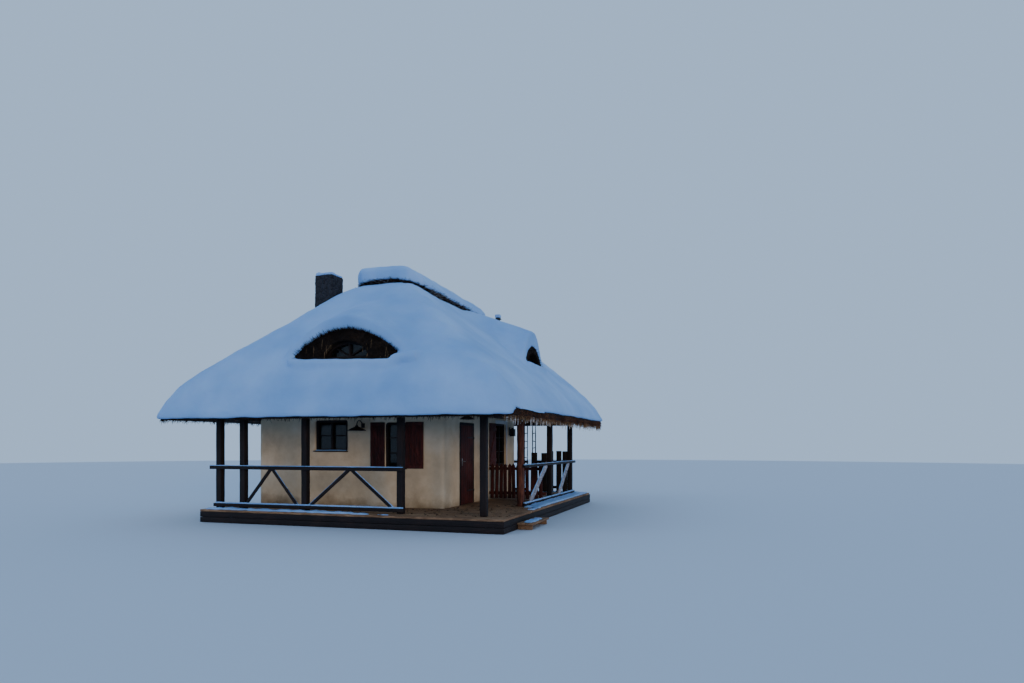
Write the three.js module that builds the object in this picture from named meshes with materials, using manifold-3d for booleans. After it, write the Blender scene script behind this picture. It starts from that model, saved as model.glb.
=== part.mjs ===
// A one-storey thatched cottage under deep snow, with a timber veranda on three sides.
// Millimetres. +Z is up, the front of the house faces -Y, and the ridge runs along Y.
// Z = 0 is the lowest ground. X = 0 is the middle of the roof's width, Y = 0 of its length.

import * as THREE from 'three';
import { mergeVertices } from 'three/addons/utils/BufferGeometryUtils.js';
import Module from 'manifold-3d';

const wasm = await Module();
wasm.setup();

// Driving dimensions

const GAP = 0.3; // left between two pieces that touch

const DECK_TOP = 300;
const DECK_BOARD = 50;
const DECK_SKIRT = 80;
const DECK = { left: -3400, right: 4040, front: -4125, rear: 4263 };
const STEP = { right: 4395, front: -3275, rear: -1975, top: 150, board: 45 };

const HOUSE = { left: -3210, right: 1923, front: -2276, rear: 3170 };
const WALL = 300;
const WALL_CORNER = 90; // radius of the plaster at the outer corners
const FOOTING = 400;
const FOOTING_TOP = 240;
const WALL_TOP = 2550;

const POST = 150; // square posts at the front
const LOG_POST = 200; // the round post beside the entrance
const REAR_POST = 150;
const TRELLIS = { width: 130, stake: 34, rungs: [620, 1010, 1400, 1690, 1920, 2150] };
const ROW_FRONT = -3675;
const ROW_RIGHT = 3450;
const ROW_REAR = 3913;
const BEAM = { width: 140, bottom: 2390 };
const CEILING_TOP = 2630;

const EAVE_TOP = 2540; // top of the reed at the eave
const EAVE_EDGE = 190; // thickness of the cut reed at the eave
const THATCH = 360; // thickness of the reed measured straight down
const SIDE_SLOPE = 0.83;
const FRONT_SLOPE = 1.06;
const CROWN = { rise: 3100, softness: 260 }; // the broad back that carries the ridge cap
const HALF_HIP = { height: 2500, slope: 1.2 };
const HIP_SOFTNESS = 600;
const SHOULDER = { reach: 700, front: 350, side: 100 }; // the rounded roll at the eave
const ROOF = { side: 4340, front: -4515, rear: 4575 };

const SNOW = 230;
const SNOW_ROLL = 350; // how far in from its edge the snow rolls down
const SNOW_EDGE = { side: 4400, front: -4575, rear: 4560 };

const FRONT_DORMER = {
  centre: 345, face: -3980, rise: 860, spread: 1590, slope: 0.42, reach: 1500, snow: 290,
};
const SIDE_DORMER = {
  centre: 1275, face: 3070, rise: 810, spread: 1000, slope: 0.36, reach: 2100, snow: 400,
};
const DORMER_WALL = 300; // thickness of the reed face round a dormer window

const CAP = { half: 1080, front: -1620, rear: 3420, top: 5960, edge: 5730, fall: 0.019 };
const CAP_SNOW = { middle: 350, edge: 50 };
const CAP_LIP = 20;

const CHIMNEY = { x: -1630, y: -1525, width: 520, top: 6150 };
const VENT = { x: 1320, y: 3325, radius: 60, top: 5720 };

// Geometry helpers

function box(x0, x1, y0, y1, z0, z1) {
  const shape = new THREE.BoxGeometry(x1 - x0, y1 - y0, z1 - z0);
  return shape.translate((x0 + x1) / 2, (y0 + y1) / 2, (z0 + z1) / 2);
}

function solid(geometry) {
  const bare = geometry.clone();
  bare.deleteAttribute('normal');
  bare.deleteAttribute('uv');
  const merged = mergeVertices(bare, 1e-3);
  const vertProperties = new Float32Array(merged.attributes.position.array);
  const triVerts = new Uint32Array(merged.index.array);
  return new wasm.Manifold(new wasm.Mesh({ numProp: 3, vertProperties, triVerts }));
}

function geometryOf(body) {
  const mesh = body.getMesh();
  const geometry = new THREE.BufferGeometry();
  const points = new Float32Array(mesh.vertProperties);
  geometry.setAttribute('position', new THREE.BufferAttribute(points, 3));
  geometry.setIndex(new THREE.BufferAttribute(new Uint32Array(mesh.triVerts), 1));
  const flat = geometry.toNonIndexed();
  flat.computeVertexNormals();
  return flat;
}

function joined(...geometries) {
  return geometryOf(geometries.map(solid).reduce((a, b) => a.add(b)));
}

function cut(geometry, ...tools) {
  return geometryOf(tools.map(solid).reduce((a, b) => a.subtract(b), solid(geometry)));
}

function common(geometry, other) {
  return geometryOf(solid(geometry).intersect(solid(other)));
}

function outline(points) {
  return new THREE.Shape(points.map(([x, y]) => new THREE.Vector2(x, y)));
}

// Prism that stands on a plan outline.
function upright(points, z0, z1, holes = []) {
  const shape = outline(points);
  holes.forEach((hole) => shape.holes.push(outline(hole)));
  const prism = new THREE.ExtrudeGeometry(shape, { depth: z1 - z0, bevelEnabled: false });
  return prism.translate(0, 0, z0);
}

// Prism along Y of an outline drawn as [x, z].
function alongY(points, y0, y1, holes = []) {
  const shape = outline(points);
  holes.forEach((hole) => shape.holes.push(outline(hole)));
  const prism = new THREE.ExtrudeGeometry(shape, { depth: y1 - y0, bevelEnabled: false });
  return prism.rotateX(Math.PI / 2).translate(0, y1, 0);
}

// Prism along X of an outline drawn as [y, z].
function alongX(points, x0, x1, holes = []) {
  const shape = outline(points);
  holes.forEach((hole) => shape.holes.push(outline(hole)));
  const prism = new THREE.ExtrudeGeometry(shape, { depth: x1 - x0, bevelEnabled: false });
  return prism.rotateX(Math.PI / 2).rotateZ(Math.PI / 2).translate(x0, 0, 0);
}

function rectangle(a0, a1, b0, b1) {
  return [[a0, b0], [a1, b0], [a1, b1], [a0, b1]];
}

function halfEllipse(centre, half, base, height, steps = 14) {
  const points = [];
  for (let i = 0; i <= steps; i += 1) {
    const angle = (Math.PI * i) / steps;
    points.push([centre + half * Math.cos(angle), base + height * Math.sin(angle)]);
  }
  return points;
}

// Closed block between two height functions over a grid of plan lines.
function terrain(xs, ys, top, bottom) {
  const points = [];
  const index = [];
  const columns = xs.length;
  const layer = xs.length * ys.length;
  ys.forEach((y) => xs.forEach((x) => points.push(x, y, top(x, y))));
  ys.forEach((y) => xs.forEach((x) => points.push(x, y, bottom(x, y))));
  const at = (i, j, level) => level * layer + j * columns + i;
  const quad = (a, b, c, d) => index.push(a, b, c, a, c, d);
  for (let j = 0; j + 1 < ys.length; j += 1) {
    for (let i = 0; i + 1 < columns; i += 1) {
      quad(at(i, j, 0), at(i + 1, j, 0), at(i + 1, j + 1, 0), at(i, j + 1, 0));
      quad(at(i, j, 1), at(i, j + 1, 1), at(i + 1, j + 1, 1), at(i + 1, j, 1));
    }
  }
  for (let i = 0; i + 1 < columns; i += 1) {
    const last = ys.length - 1;
    quad(at(i, 0, 1), at(i + 1, 0, 1), at(i + 1, 0, 0), at(i, 0, 0));
    quad(at(i + 1, last, 1), at(i, last, 1), at(i, last, 0), at(i + 1, last, 0));
  }
  for (let j = 0; j + 1 < ys.length; j += 1) {
    const last = columns - 1;
    quad(at(0, j + 1, 1), at(0, j, 1), at(0, j, 0), at(0, j + 1, 0));
    quad(at(last, j, 1), at(last, j + 1, 1), at(last, j + 1, 0), at(last, j, 0));
  }
  const geometry = new THREE.BufferGeometry();
  geometry.setAttribute('position', new THREE.BufferAttribute(new Float32Array(points), 3));
  geometry.setIndex(index);
  return geometry;
}

// Materials and the list of named pieces

const COLOURS = {
  plaster: '#d9c7a0',
  timber: '#3f2a20',
  board: '#6b4a33',
  paint: '#5c2420',
  reed: '#3b2f26',
  snow: '#eef3f8',
  stone: '#55504c',
  glass: '#26323c',
  metal: '#2b2c2e',
};

const cottage = new THREE.Group();

function piece(name, colour, geometry) {
  const material = new THREE.MeshStandardMaterial({ color: COLOURS[colour], name: colour });
  const mesh = new THREE.Mesh(geometry, material);
  mesh.name = name;
  cottage.add(mesh);
}

// Form of the roof

function softMin(a, b, blend) {
  const overlap = Math.max(0, blend - Math.abs(a - b));
  return Math.min(a, b) - (overlap * overlap) / (4 * blend);
}

function softMax(a, b, blend) {
  return blend > 0 ? -softMin(-a, -b, blend) : Math.max(a, b);
}

function clamp01(value) {
  return Math.min(1, Math.max(0, value));
}

// Each slope runs straight up from a rounded shoulder at the eave.
function slopeRise(line, drop, inset) {
  const near = Math.max(0, 1 - inset / SHOULDER.reach);
  return line - drop * near * near;
}

function sideRise(x) {
  const inset = ROOF.side - Math.abs(x);
  const slope = slopeRise(SIDE_SLOPE * inset + SHOULDER.side, SHOULDER.side, inset);
  return softMin(slope, CROWN.rise, CROWN.softness);
}

function frontRise(y) {
  const inset = y - ROOF.front;
  return slopeRise(FRONT_SLOPE * inset + SHOULDER.front, SHOULDER.front, inset);
}

function rearRise(y) {
  return HALF_HIP.height + HALF_HIP.slope * (ROOF.rear - y);
}

function roofRise(x, y) {
  const main = softMin(sideRise(x), frontRise(y), HIP_SOFTNESS);
  return softMin(main, rearRise(y), HIP_SOFTNESS);
}

// Eyebrow dormers: a low arch that runs back into the slope.
function arch(offset, spread) {
  const reach = Math.min(1, Math.abs(offset) / spread);
  return reach < 1 ? Math.cos((Math.PI / 2) * reach) ** 0.8 : 0;
}

function frontEyebrow(x, y, cover, start) {
  const depth = y - FRONT_DORMER.face;
  const share = arch(x - FRONT_DORMER.centre, FRONT_DORMER.spread);
  const foot = EAVE_TOP + frontRise(FRONT_DORMER.face);
  const extra = cover ? SNOW + (FRONT_DORMER.snow - SNOW) * share : 0;
  const inReach = share > 0 && depth >= start && depth < FRONT_DORMER.reach;
  const height = foot + FRONT_DORMER.rise * share + FRONT_DORMER.slope * depth + extra;
  return { height: inReach ? height : -1e6, blend: 200 * clamp01((FRONT_DORMER.reach - depth) / 600) };
}

function sideEyebrow(x, y, cover, start) {
  const depth = SIDE_DORMER.face - x;
  const share = arch(y - SIDE_DORMER.centre, SIDE_DORMER.spread);
  const foot = EAVE_TOP + sideRise(SIDE_DORMER.face);
  const extra = cover ? SNOW + (SIDE_DORMER.snow - SNOW) * share : 0;
  const inReach = share > 0 && depth >= start && depth < SIDE_DORMER.reach;
  const height = foot + SIDE_DORMER.rise * share + SIDE_DORMER.slope * depth + extra;
  return { height: inReach ? height : -1e6, blend: 250 * clamp01((SIDE_DORMER.reach - depth) / 1000) };
}

// start is how far behind its face a dormer's arch begins.
function withDormers(plain, x, y, cover, start) {
  const front = frontEyebrow(x, y, cover, start);
  const side = sideEyebrow(x, y, cover, start);
  return softMax(softMax(plain, front.height, front.blend), side.height, side.blend);
}

function reedTop(x, y, start = 0) {
  return withDormers(EAVE_TOP + roofRise(x, y), x, y, false, start);
}

function reedUnderside(x, y) {
  const rise = roofRise(x, y);
  const thickness = EAVE_EDGE + (THATCH - EAVE_EDGE) * clamp01(rise / 300);
  const top = withDormers(EAVE_TOP + rise, x, y, false, DORMER_WALL);
  return Math.min(top - 60, Math.max(top - thickness, EAVE_TOP - EAVE_EDGE));
}

function bell(offset, width) {
  return Math.exp(-((offset / width) ** 2));
}

// Wind has carried some snow away at the foot of the front dormer, most of it at the right end.
function scoured(x, y) {
  const alongFace = 45 * bell(x - FRONT_DORMER.centre, 1100) + 85 * bell(x - 1400, 330);
  return alongFace * bell(y - FRONT_DORMER.face + 40, 420);
}

function snowTop(x, y) {
  const rise = roofRise(x, y);
  const inset = (rise + 85) / 1.35;
  const near = 1 - clamp01(inset / SNOW_ROLL);
  const plain = EAVE_TOP + rise + SNOW - 260 * near * near - scoured(x, y);
  return withDormers(plain, x, y, true, 15);
}

// Plan outline of the roof: straight eaves, soft front corners, round rear corners.
function insetFor(rise, riseAt) {
  let low = -400;
  let high = 3000;
  for (let i = 0; i < 40; i += 1) {
    const middle = (low + high) / 2;
    if (riseAt(middle) < rise) low = middle;
    else high = middle;
  }
  return (low + high) / 2;
}

function frontCorner(steps = 8) {
  const points = [];
  for (let i = 0; i <= steps; i += 1) {
    const along = 1 - (2 * i) / steps;
    const lead = Math.abs(along) * HIP_SOFTNESS;
    const least = (HIP_SOFTNESS - lead) ** 2 / (4 * HIP_SOFTNESS);
    const side = least + (along > 0 ? lead : 0);
    const front = least + (along > 0 ? 0 : lead);
    points.push([
      insetFor(side, (inset) => sideRise(ROOF.side - inset)),
      insetFor(front, (inset) => frontRise(ROOF.front + inset)),
    ]);
  }
  return points;
}

function roofPlan(side, front, rear, corner = 150, steps = 3) {
  const right = frontCorner().map(([a, b]) => [side - a, front + b]);
  for (let i = 0; i <= steps; i += 1) {
    const angle = (Math.PI / 2) * (i / steps);
    right.push([side - corner + corner * Math.cos(angle), rear - corner + corner * Math.sin(angle)]);
  }
  const left = right.map(([x, y]) => [-x, y]).reverse();
  return [...right, ...left];
}

function spread(start, end, step) {
  const count = Math.round((end - start) / step);
  return Array.from({ length: count + 1 }, (_, i) => start + ((end - start) * i) / count);
}

function gridX(edge, ...extra) {
  const { centre } = FRONT_DORMER;
  const dormer = spread(centre - 1600, centre + 1600, 200);
  const eave = [4340, 4180, 3960, 3640].flatMap((x) => [x, -x]);
  return thinned([-edge, edge, ...extra, ...eave, ...dormer, ...spread(-4340, 4340, 480)], 110, extra);
}

function gridY(front, rear, ...extra) {
  const { centre } = SIDE_DORMER;
  const dormer = spread(centre - 1000, centre + 1000, 200);
  const eave = [-4515, -4360, -4180];
  return thinned([front, rear, ...extra, ...eave, ...dormer, ...spread(-4000, 4575, 480)], 110, extra);
}

// Drops grid lines that crowd their neighbour, and keeps the ones asked for.
function thinned(values, least, keep) {
  const sorted = [...new Set(values)].sort((a, b) => a - b);
  const ends = [sorted[0], sorted[sorted.length - 1]];
  const fixed = (value) => keep.includes(value) || ends.includes(value);
  return sorted.filter((value, i) => {
    if (fixed(value)) return true;
    const crowded = sorted.some((other, j) => j !== i && Math.abs(other - value) < least
      && (fixed(other) || j < i));
    return !crowded;
  });
}

// Roof: reed, ridge cap and snow

// Plan lines of the reed, with the ones that its dormer faces need.
function reedGrid(start) {
  const faceY = FRONT_DORMER.face + start;
  const faceX = SIDE_DORMER.face - start;
  const innerY = FRONT_DORMER.face + DORMER_WALL;
  const innerX = SIDE_DORMER.face - DORMER_WALL;
  return {
    xs: gridX(4420, faceX, faceX + 1, innerX, innerX + 1),
    ys: gridY(-4600, 4660, faceY - 1, faceY, innerY - 1, innerY),
  };
}

function reedBody(topLift, bottom, side, front, rear, start) {
  const { xs, ys } = reedGrid(start);
  const block = terrain(xs, ys, (x, y) => reedTop(x, y, start) + topLift, bottom);
  return common(block, upright(roofPlan(side, front, rear), 1000, 7000));
}

// Everything below the reed's top, with a little clearance above it and before the dormers.
function underReed() {
  const body = (start) => reedBody(0.5, () => 1500, ROOF.side + GAP, ROOF.front - GAP, ROOF.rear + 40, start);
  return joined(body(0), body(-1));
}

function atticSpace() {
  const { xs, ys } = reedGrid(0);
  return terrain(xs, ys, (x, y) => reedUnderside(x, y) - 0.5, () => 1500);
}

const WINDOW_ARCH = { half: 560, height: 380 };
const FRONT_SILL = EAVE_TOP + frontRise(FRONT_DORMER.face) + SNOW + 15;
const SIDE_SILL = EAVE_TOP + sideRise(SIDE_DORMER.face) + SNOW + 15;
const PANE_SET_BACK = 190;

function chimneyShaft(clear, z0, z1) {
  const half = CHIMNEY.width / 2 + clear;
  return box(CHIMNEY.x - half, CHIMNEY.x + half, CHIMNEY.y - half, CHIMNEY.y + half, z0, z1);
}

function ventShaft(clear, z0, z1) {
  const pipe = new THREE.CylinderGeometry(VENT.radius + clear, VENT.radius + clear, z1 - z0, 16);
  return pipe.rotateX(Math.PI / 2).translate(VENT.x, VENT.y, (z0 + z1) / 2);
}

function thatch() {
  const reed = reedBody(0, reedUnderside, ROOF.side, ROOF.front, ROOF.rear, 0);
  const { half, height } = WINDOW_ARCH;
  const front = alongY(halfEllipse(FRONT_DORMER.centre, half, FRONT_SILL, height),
    FRONT_DORMER.face - 300, FRONT_DORMER.face + 900);
  const side = alongX(halfEllipse(SIDE_DORMER.centre, half, SIDE_SILL, height),
    SIDE_DORMER.face - 900, SIDE_DORMER.face + 300);
  return cut(reed, front, side, chimneyShaft(GAP, 1000, 7000), ventShaft(GAP, 1000, 7000));
}

function sheared(geometry) {
  const position = geometry.attributes.position;
  for (let i = 0; i < position.count; i += 1) {
    position.setZ(i, position.getZ(i) - CAP.fall * (position.getY(i) - CAP.front));
  }
  return geometry;
}

// Cross-section of the ridge: nearly level in the middle, falling faster towards its edges.
function capArch(half, middleLift, edgeLift, power, leftPower = power, steps = 16) {
  const points = [];
  const middle = CAP.top + middleLift;
  const edge = CAP.edge + edgeLift;
  for (let i = 0; i <= steps; i += 1) {
    const across = 1 - (2 * i) / steps;
    const share = Math.abs(across) ** (across < 0 ? leftPower : power);
    points.push([half * across, middle - (middle - edge) * share]);
  }
  return points;
}

// Plan of the ridge cap, with a margin all round. Its front left corner is worn rounder than the right one.
function capPlan(margin) {
  const { half, front, rear } = CAP;
  const right = [
    [660, front], [960, front + 150], [half, front + 420], [half, rear - 850],
    [980, rear - 450], [700, rear - 150], [300, rear],
  ];
  const left = [
    [-300, rear], [-700, rear - 150], [-920, rear - 450], [-1000, rear - 850],
    [-1000, front + 900], [-930, front + 500], [-790, front + 190], [-560, front],
  ];
  const middle = (front + rear) / 2;
  const length = (rear - front) / 2;
  return [...right, ...left].map(([x, y]) => [
    x * (1 + margin / half), middle + (y - middle) * (1 + margin / length),
  ]);
}

function capReed() {
  const points = [[-CAP.half, 4600], [CAP.half, 4600], ...capArch(CAP.half, 0, 0, 2.2)];
  return common(sheared(alongY(points, CAP.front - 10, CAP.rear + 10)), upright(capPlan(0), 4000, 7000));
}

// Side view of the ridge snow. It rolls down over the front end of the cap, and a little at the rear end.
function capRoll() {
  const roll = { front: 420, rear: 300, drop: 250 };
  const level = CAP.top + CAP_SNOW.middle + 2;
  const front = CAP.front - CAP_LIP - 40;
  const rear = CAP.rear + CAP_LIP + 40;
  const points = [[front, 4600], [rear, 4600]];
  for (let i = 0; i <= 6; i += 1) {
    const turn = (Math.PI * i) / 12;
    points.push([rear - roll.rear * (1 - Math.cos(turn)), level - roll.drop * (1 - Math.sin(turn))]);
  }
  for (let i = 6; i >= 0; i -= 1) {
    const turn = (Math.PI * i) / 12;
    points.push([front + roll.front * (1 - Math.cos(turn)), level - roll.drop * (1 - Math.sin(turn))]);
  }
  return sheared(alongX(points, -1500, 1500));
}

function capSnow() {
  const half = CAP.half + CAP_LIP;
  const over = capArch(half, CAP_SNOW.middle, CAP_SNOW.edge, 3, 4.2);
  const onReed = capArch(CAP.half, 0.6, 0.6, 2.2).reverse();
  const under = [[-half, CAP.edge + 0.6], ...onReed, [half, CAP.edge + 0.6]];
  const sheet = sheared(alongY([...over, ...under], CAP.front - 100, CAP.rear + 100));
  return common(common(sheet, capRoll()), upright(capPlan(CAP_LIP), 4000, 7000));
}

// Slot in the roof snow where the ridge cap stands.
function capSlot() {
  return upright(capPlan(CAP_LIP + 2), 4600, 7000);
}

function roofSnow(reedVolume) {
  const faceY = FRONT_DORMER.face + 15;
  const faceX = SIDE_DORMER.face - 15;
  const xs = gridX(4460, 4300, 4320, faceX, faceX + 1);
  const ys = gridY(-4640, 4640, faceY - 1, faceY);
  const lip = (x) => (x > 4310 ? EAVE_TOP - 10 : 2400);
  const block = terrain(xs, ys, snowTop, lip);
  const plan = upright(roofPlan(SNOW_EDGE.side, SNOW_EDGE.front, SNOW_EDGE.rear), 1000, 7000);
  const sheet = common(block, plan);
  return cut(sheet, reedVolume, capSlot(), chimneyShaft(GAP, 1000, 7000), ventShaft(GAP, 1000, 7000));
}

const reedVolume = underReed();
piece('roof_thatch', 'reed', thatch());
piece('ridge_cap', 'reed', cut(capReed(), reedVolume));
piece('roof_snow', 'snow', roofSnow(reedVolume));
piece('ridge_snow', 'snow', capSnow());

// Stone footing, floor and plastered walls

const INNER = {
  left: HOUSE.left + WALL,
  right: HOUSE.right - WALL,
  front: HOUSE.front + WALL,
  rear: HOUSE.rear - WALL,
};

function plan(edges, inset = 0) {
  return rectangle(edges.left + inset, edges.right - inset, edges.front + inset, edges.rear - inset);
}

piece('stone_footing', 'stone', upright(plan(HOUSE), 0, FOOTING_TOP, [plan(HOUSE, FOOTING)]));

const FLOOR_BOARDS = box(INNER.left + GAP, INNER.right - GAP, INNER.front + GAP, INNER.rear - GAP,
  FOOTING_TOP + GAP, DECK_TOP);
piece('ground_floor', 'board', cut(FLOOR_BOARDS, chimneyShaft(GAP, 0, 1000)));

// Openings: a0..a1 along the wall, z0..z1 up it.
const FRONT_WINDOW_LEFT = { a0: -1540, a1: -640, z0: 1640, z1: 2400 };
const FRONT_WINDOW_RIGHT = { a0: 400, a1: 950, z0: 1230, z1: 2330 };
const SIDE_WINDOW = { a0: 1375, a1: 2265, z0: 1200, z1: 2400 };
const LEFT_WINDOW = { a0: -250, a1: 650, z0: 1240, z1: 2140 };
const REAR_WINDOW = { a0: -1100, a1: -200, z0: 1240, z1: 2140 };
const DOORWAY = { a0: -1265, a1: -305, z1: 2350 };

const WALL_FOOT = FOOTING_TOP + GAP;

function frontWallHole({ a0, a1, z0, z1 }) {
  return box(a0, a1, HOUSE.front - 50, INNER.front + 50, z0, z1);
}

// Plan of an end wall, with its two outer corners rounded. outward is -1 at the front, 1 at the rear.
function endWallPlan(face, inner, outward, steps = 4) {
  const right = [[HOUSE.right, inner]];
  for (let i = 0; i <= steps; i += 1) {
    const angle = (Math.PI / 2) * (i / steps);
    right.push([
      HOUSE.right - WALL_CORNER * (1 - Math.cos(angle)),
      face - outward * WALL_CORNER * (1 - Math.sin(angle)),
    ]);
  }
  const left = right.map(([x, y]) => [HOUSE.left + HOUSE.right - x, y]).reverse();
  return [...right, ...left];
}

function endWall(face, inner, outward) {
  return upright(endWallPlan(face, inner, outward), WALL_FOOT, WALL_TOP);
}

piece('front_wall', 'plaster', cut(
  endWall(HOUSE.front, INNER.front, -1),
  frontWallHole(FRONT_WINDOW_LEFT),
  frontWallHole(FRONT_WINDOW_RIGHT),
));

piece('rear_wall', 'plaster', cut(
  endWall(HOUSE.rear, INNER.rear, 1),
  box(REAR_WINDOW.a0, REAR_WINDOW.a1, INNER.rear - 50, HOUSE.rear + 50, REAR_WINDOW.z0, REAR_WINDOW.z1),
));

const SIDE_FRONT = INNER.front + GAP;
const SIDE_REAR = INNER.rear - GAP;

piece('left_wall', 'plaster', cut(
  box(HOUSE.left, INNER.left, SIDE_FRONT, SIDE_REAR, WALL_FOOT, WALL_TOP),
  box(HOUSE.left - 50, INNER.left + 50, LEFT_WINDOW.a0, LEFT_WINDOW.a1, LEFT_WINDOW.z0, LEFT_WINDOW.z1),
));

piece('right_wall_before_door', 'plaster',
  box(INNER.right, HOUSE.right, SIDE_FRONT, DOORWAY.a0, WALL_FOOT, WALL_TOP));
piece('right_wall_over_door', 'plaster',
  box(INNER.right, HOUSE.right, DOORWAY.a0 + GAP, DOORWAY.a1 - GAP, DOORWAY.z1, WALL_TOP));
piece('right_wall_after_door', 'plaster', cut(
  box(INNER.right, HOUSE.right, DOORWAY.a1, SIDE_REAR, WALL_FOOT, WALL_TOP),
  box(INNER.right - 50, HOUSE.right + 50, SIDE_WINDOW.a0, SIDE_WINDOW.a1, SIDE_WINDOW.z0, SIDE_WINDOW.z1),
));

// Windows: a frame near the outer face, and a pane against the back of the frame

const SASH = { width: 55, depth: 70, setBack: 40, pane: 8 };

function windowParts({ a0, a1, z0, z1 }) {
  const outer = rectangle(a0 + GAP, a1 - GAP, z0 + GAP, z1 - GAP);
  const inner = rectangle(a0 + SASH.width, a1 - SASH.width, z0 + SASH.width, z1 - SASH.width);
  const lap = SASH.width - 20;
  const pane = rectangle(a0 + lap, a1 - lap, z0 + lap, z1 - lap);
  return { outer, inner, pane };
}

function windowAlongX(name, opening, face, outward) {
  const { outer, inner, pane } = windowParts(opening);
  const depths = [SASH.setBack, SASH.setBack + SASH.depth].map((depth) => face - outward * depth);
  const glass = [SASH.depth + GAP, SASH.depth + GAP + SASH.pane]
    .map((depth) => face - outward * (SASH.setBack + depth));
  piece(`${name}_frame`, 'timber', alongY(outer, Math.min(...depths), Math.max(...depths), [inner]));
  piece(`${name}_glass`, 'glass', alongY(pane, Math.min(...glass), Math.max(...glass)));
}

function windowAlongY(name, opening, face, outward) {
  const { outer, inner, pane } = windowParts(opening);
  const depths = [SASH.setBack, SASH.setBack + SASH.depth].map((depth) => face - outward * depth);
  const glass = [SASH.depth + GAP, SASH.depth + GAP + SASH.pane]
    .map((depth) => face - outward * (SASH.setBack + depth));
  piece(`${name}_frame`, 'timber', alongX(outer, Math.min(...depths), Math.max(...depths), [inner]));
  piece(`${name}_glass`, 'glass', alongX(pane, Math.min(...glass), Math.max(...glass)));
}

windowAlongX('front_window_left', FRONT_WINDOW_LEFT, HOUSE.front, -1);
windowAlongX('front_window_right', FRONT_WINDOW_RIGHT, HOUSE.front, -1);
windowAlongX('rear_window', REAR_WINDOW, HOUSE.rear, 1);
windowAlongY('side_window', SIDE_WINDOW, HOUSE.right, 1);
windowAlongY('left_window', LEFT_WINDOW, HOUSE.left, -1);

// Shutters stand open against the wall

const SHUTTER = 36;

function frontShutter(name, x0, x1) {
  piece(name, 'paint', box(x0, x1, HOUSE.front - GAP - SHUTTER, HOUSE.front - GAP,
    FRONT_WINDOW_RIGHT.z0, FRONT_WINDOW_RIGHT.z1));
}

frontShutter('front_shutter_left', 20, 395);
frontShutter('front_shutter_right', 955, 1415);
piece('side_shutter', 'paint', box(HOUSE.right + GAP, HOUSE.right + GAP + SHUTTER,
  835, 1370, SIDE_WINDOW.z0, SIDE_WINDOW.z1));

// Entrance door: plank leaf on two pintle hinges, opening outward onto the veranda

const JAMB = { width: 60, depth: 120 };
const LEAF = { thickness: 50, clear: 5 };
const PINTLE = { x: HOUSE.right + 18, pin: 8, eye: 16, height: 36, seat: 14 };
PINTLE.y = DOORWAY.a1 - JAMB.width - LEAF.clear / 2;
const HINGE_HEIGHTS = [620, 1960];

function rod(x, y, z0, z1, radius) {
  const cylinder = new THREE.CylinderGeometry(radius, radius, z1 - z0, 16);
  return cylinder.rotateX(Math.PI / 2).translate(x, y, (z0 + z1) / 2);
}

function doorFrame() {
  const outer = rectangle(DOORWAY.a0 + GAP, DOORWAY.a1 - GAP, WALL_FOOT, DOORWAY.z1 - GAP);
  const head = DOORWAY.z1 - JAMB.width;
  const inner = rectangle(DOORWAY.a0 + JAMB.width, DOORWAY.a1 - JAMB.width, DECK_TOP, head);
  const frame = alongX(outer, HOUSE.right - JAMB.depth, HOUSE.right, [inner]);
  const sill = box(INNER.right + GAP, HOUSE.right - 10,
    DOORWAY.a0 + GAP, DOORWAY.a1 - GAP, WALL_FOOT, DECK_TOP);
  const pintles = HINGE_HEIGHTS.flatMap((z) => [
    rod(PINTLE.x, PINTLE.y, z - 25, z, PINTLE.seat),
    rod(PINTLE.x, PINTLE.y, z - 10, z + PINTLE.height - 4, PINTLE.pin),
    box(HOUSE.right - 12, PINTLE.x, PINTLE.y + 4, PINTLE.y + 24, z - 25, z - 1),
  ]);
  return joined(frame, sill, ...pintles);
}

function doorLeaf() {
  const hung = DOORWAY.a1 - JAMB.width - LEAF.clear;
  const free = DOORWAY.a0 + JAMB.width + LEAF.clear;
  const top = DOORWAY.z1 - JAMB.width - LEAF.clear;
  const leaf = box(HOUSE.right - LEAF.thickness, HOUSE.right, free, hung, DECK_TOP + LEAF.clear, top);
  const straps = HINGE_HEIGHTS.flatMap((z) => [
    rod(PINTLE.x, PINTLE.y, z + GAP, z + PINTLE.height, PINTLE.eye),
    box(HOUSE.right - 2, HOUSE.right + 8, hung - 420, PINTLE.y - 4, z + GAP, z + PINTLE.height),
  ]);
  const handle = [
    box(HOUSE.right - 2, HOUSE.right + 6, free + 60, free + 100, 1270, 1450),
    box(HOUSE.right, HOUSE.right + 50, free + 72, free + 88, 1372, 1388),
    box(HOUSE.right + 38, HOUSE.right + 50, free + 72, free + 190, 1370, 1390),
  ];
  const bore = PINTLE.pin + 0.5;
  const bores = HINGE_HEIGHTS.map((z) => rod(PINTLE.x, PINTLE.y, z - 5, z + PINTLE.height + 5, bore));
  return cut(joined(leaf, ...straps, ...handle), ...bores);
}

piece('door_frame', 'timber', doorFrame());
piece('entrance_door', 'paint', doorLeaf());

// Veranda: deck, step, posts and beams

const DECK_PLAN = [
  [DECK.left, DECK.front], [DECK.right, DECK.front], [DECK.right, DECK.rear], [DECK.left, DECK.rear],
  [DECK.left, HOUSE.rear + GAP], [HOUSE.right + GAP, HOUSE.rear + GAP],
  [HOUSE.right + GAP, HOUSE.front - GAP], [DECK.left, HOUSE.front - GAP],
];

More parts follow.
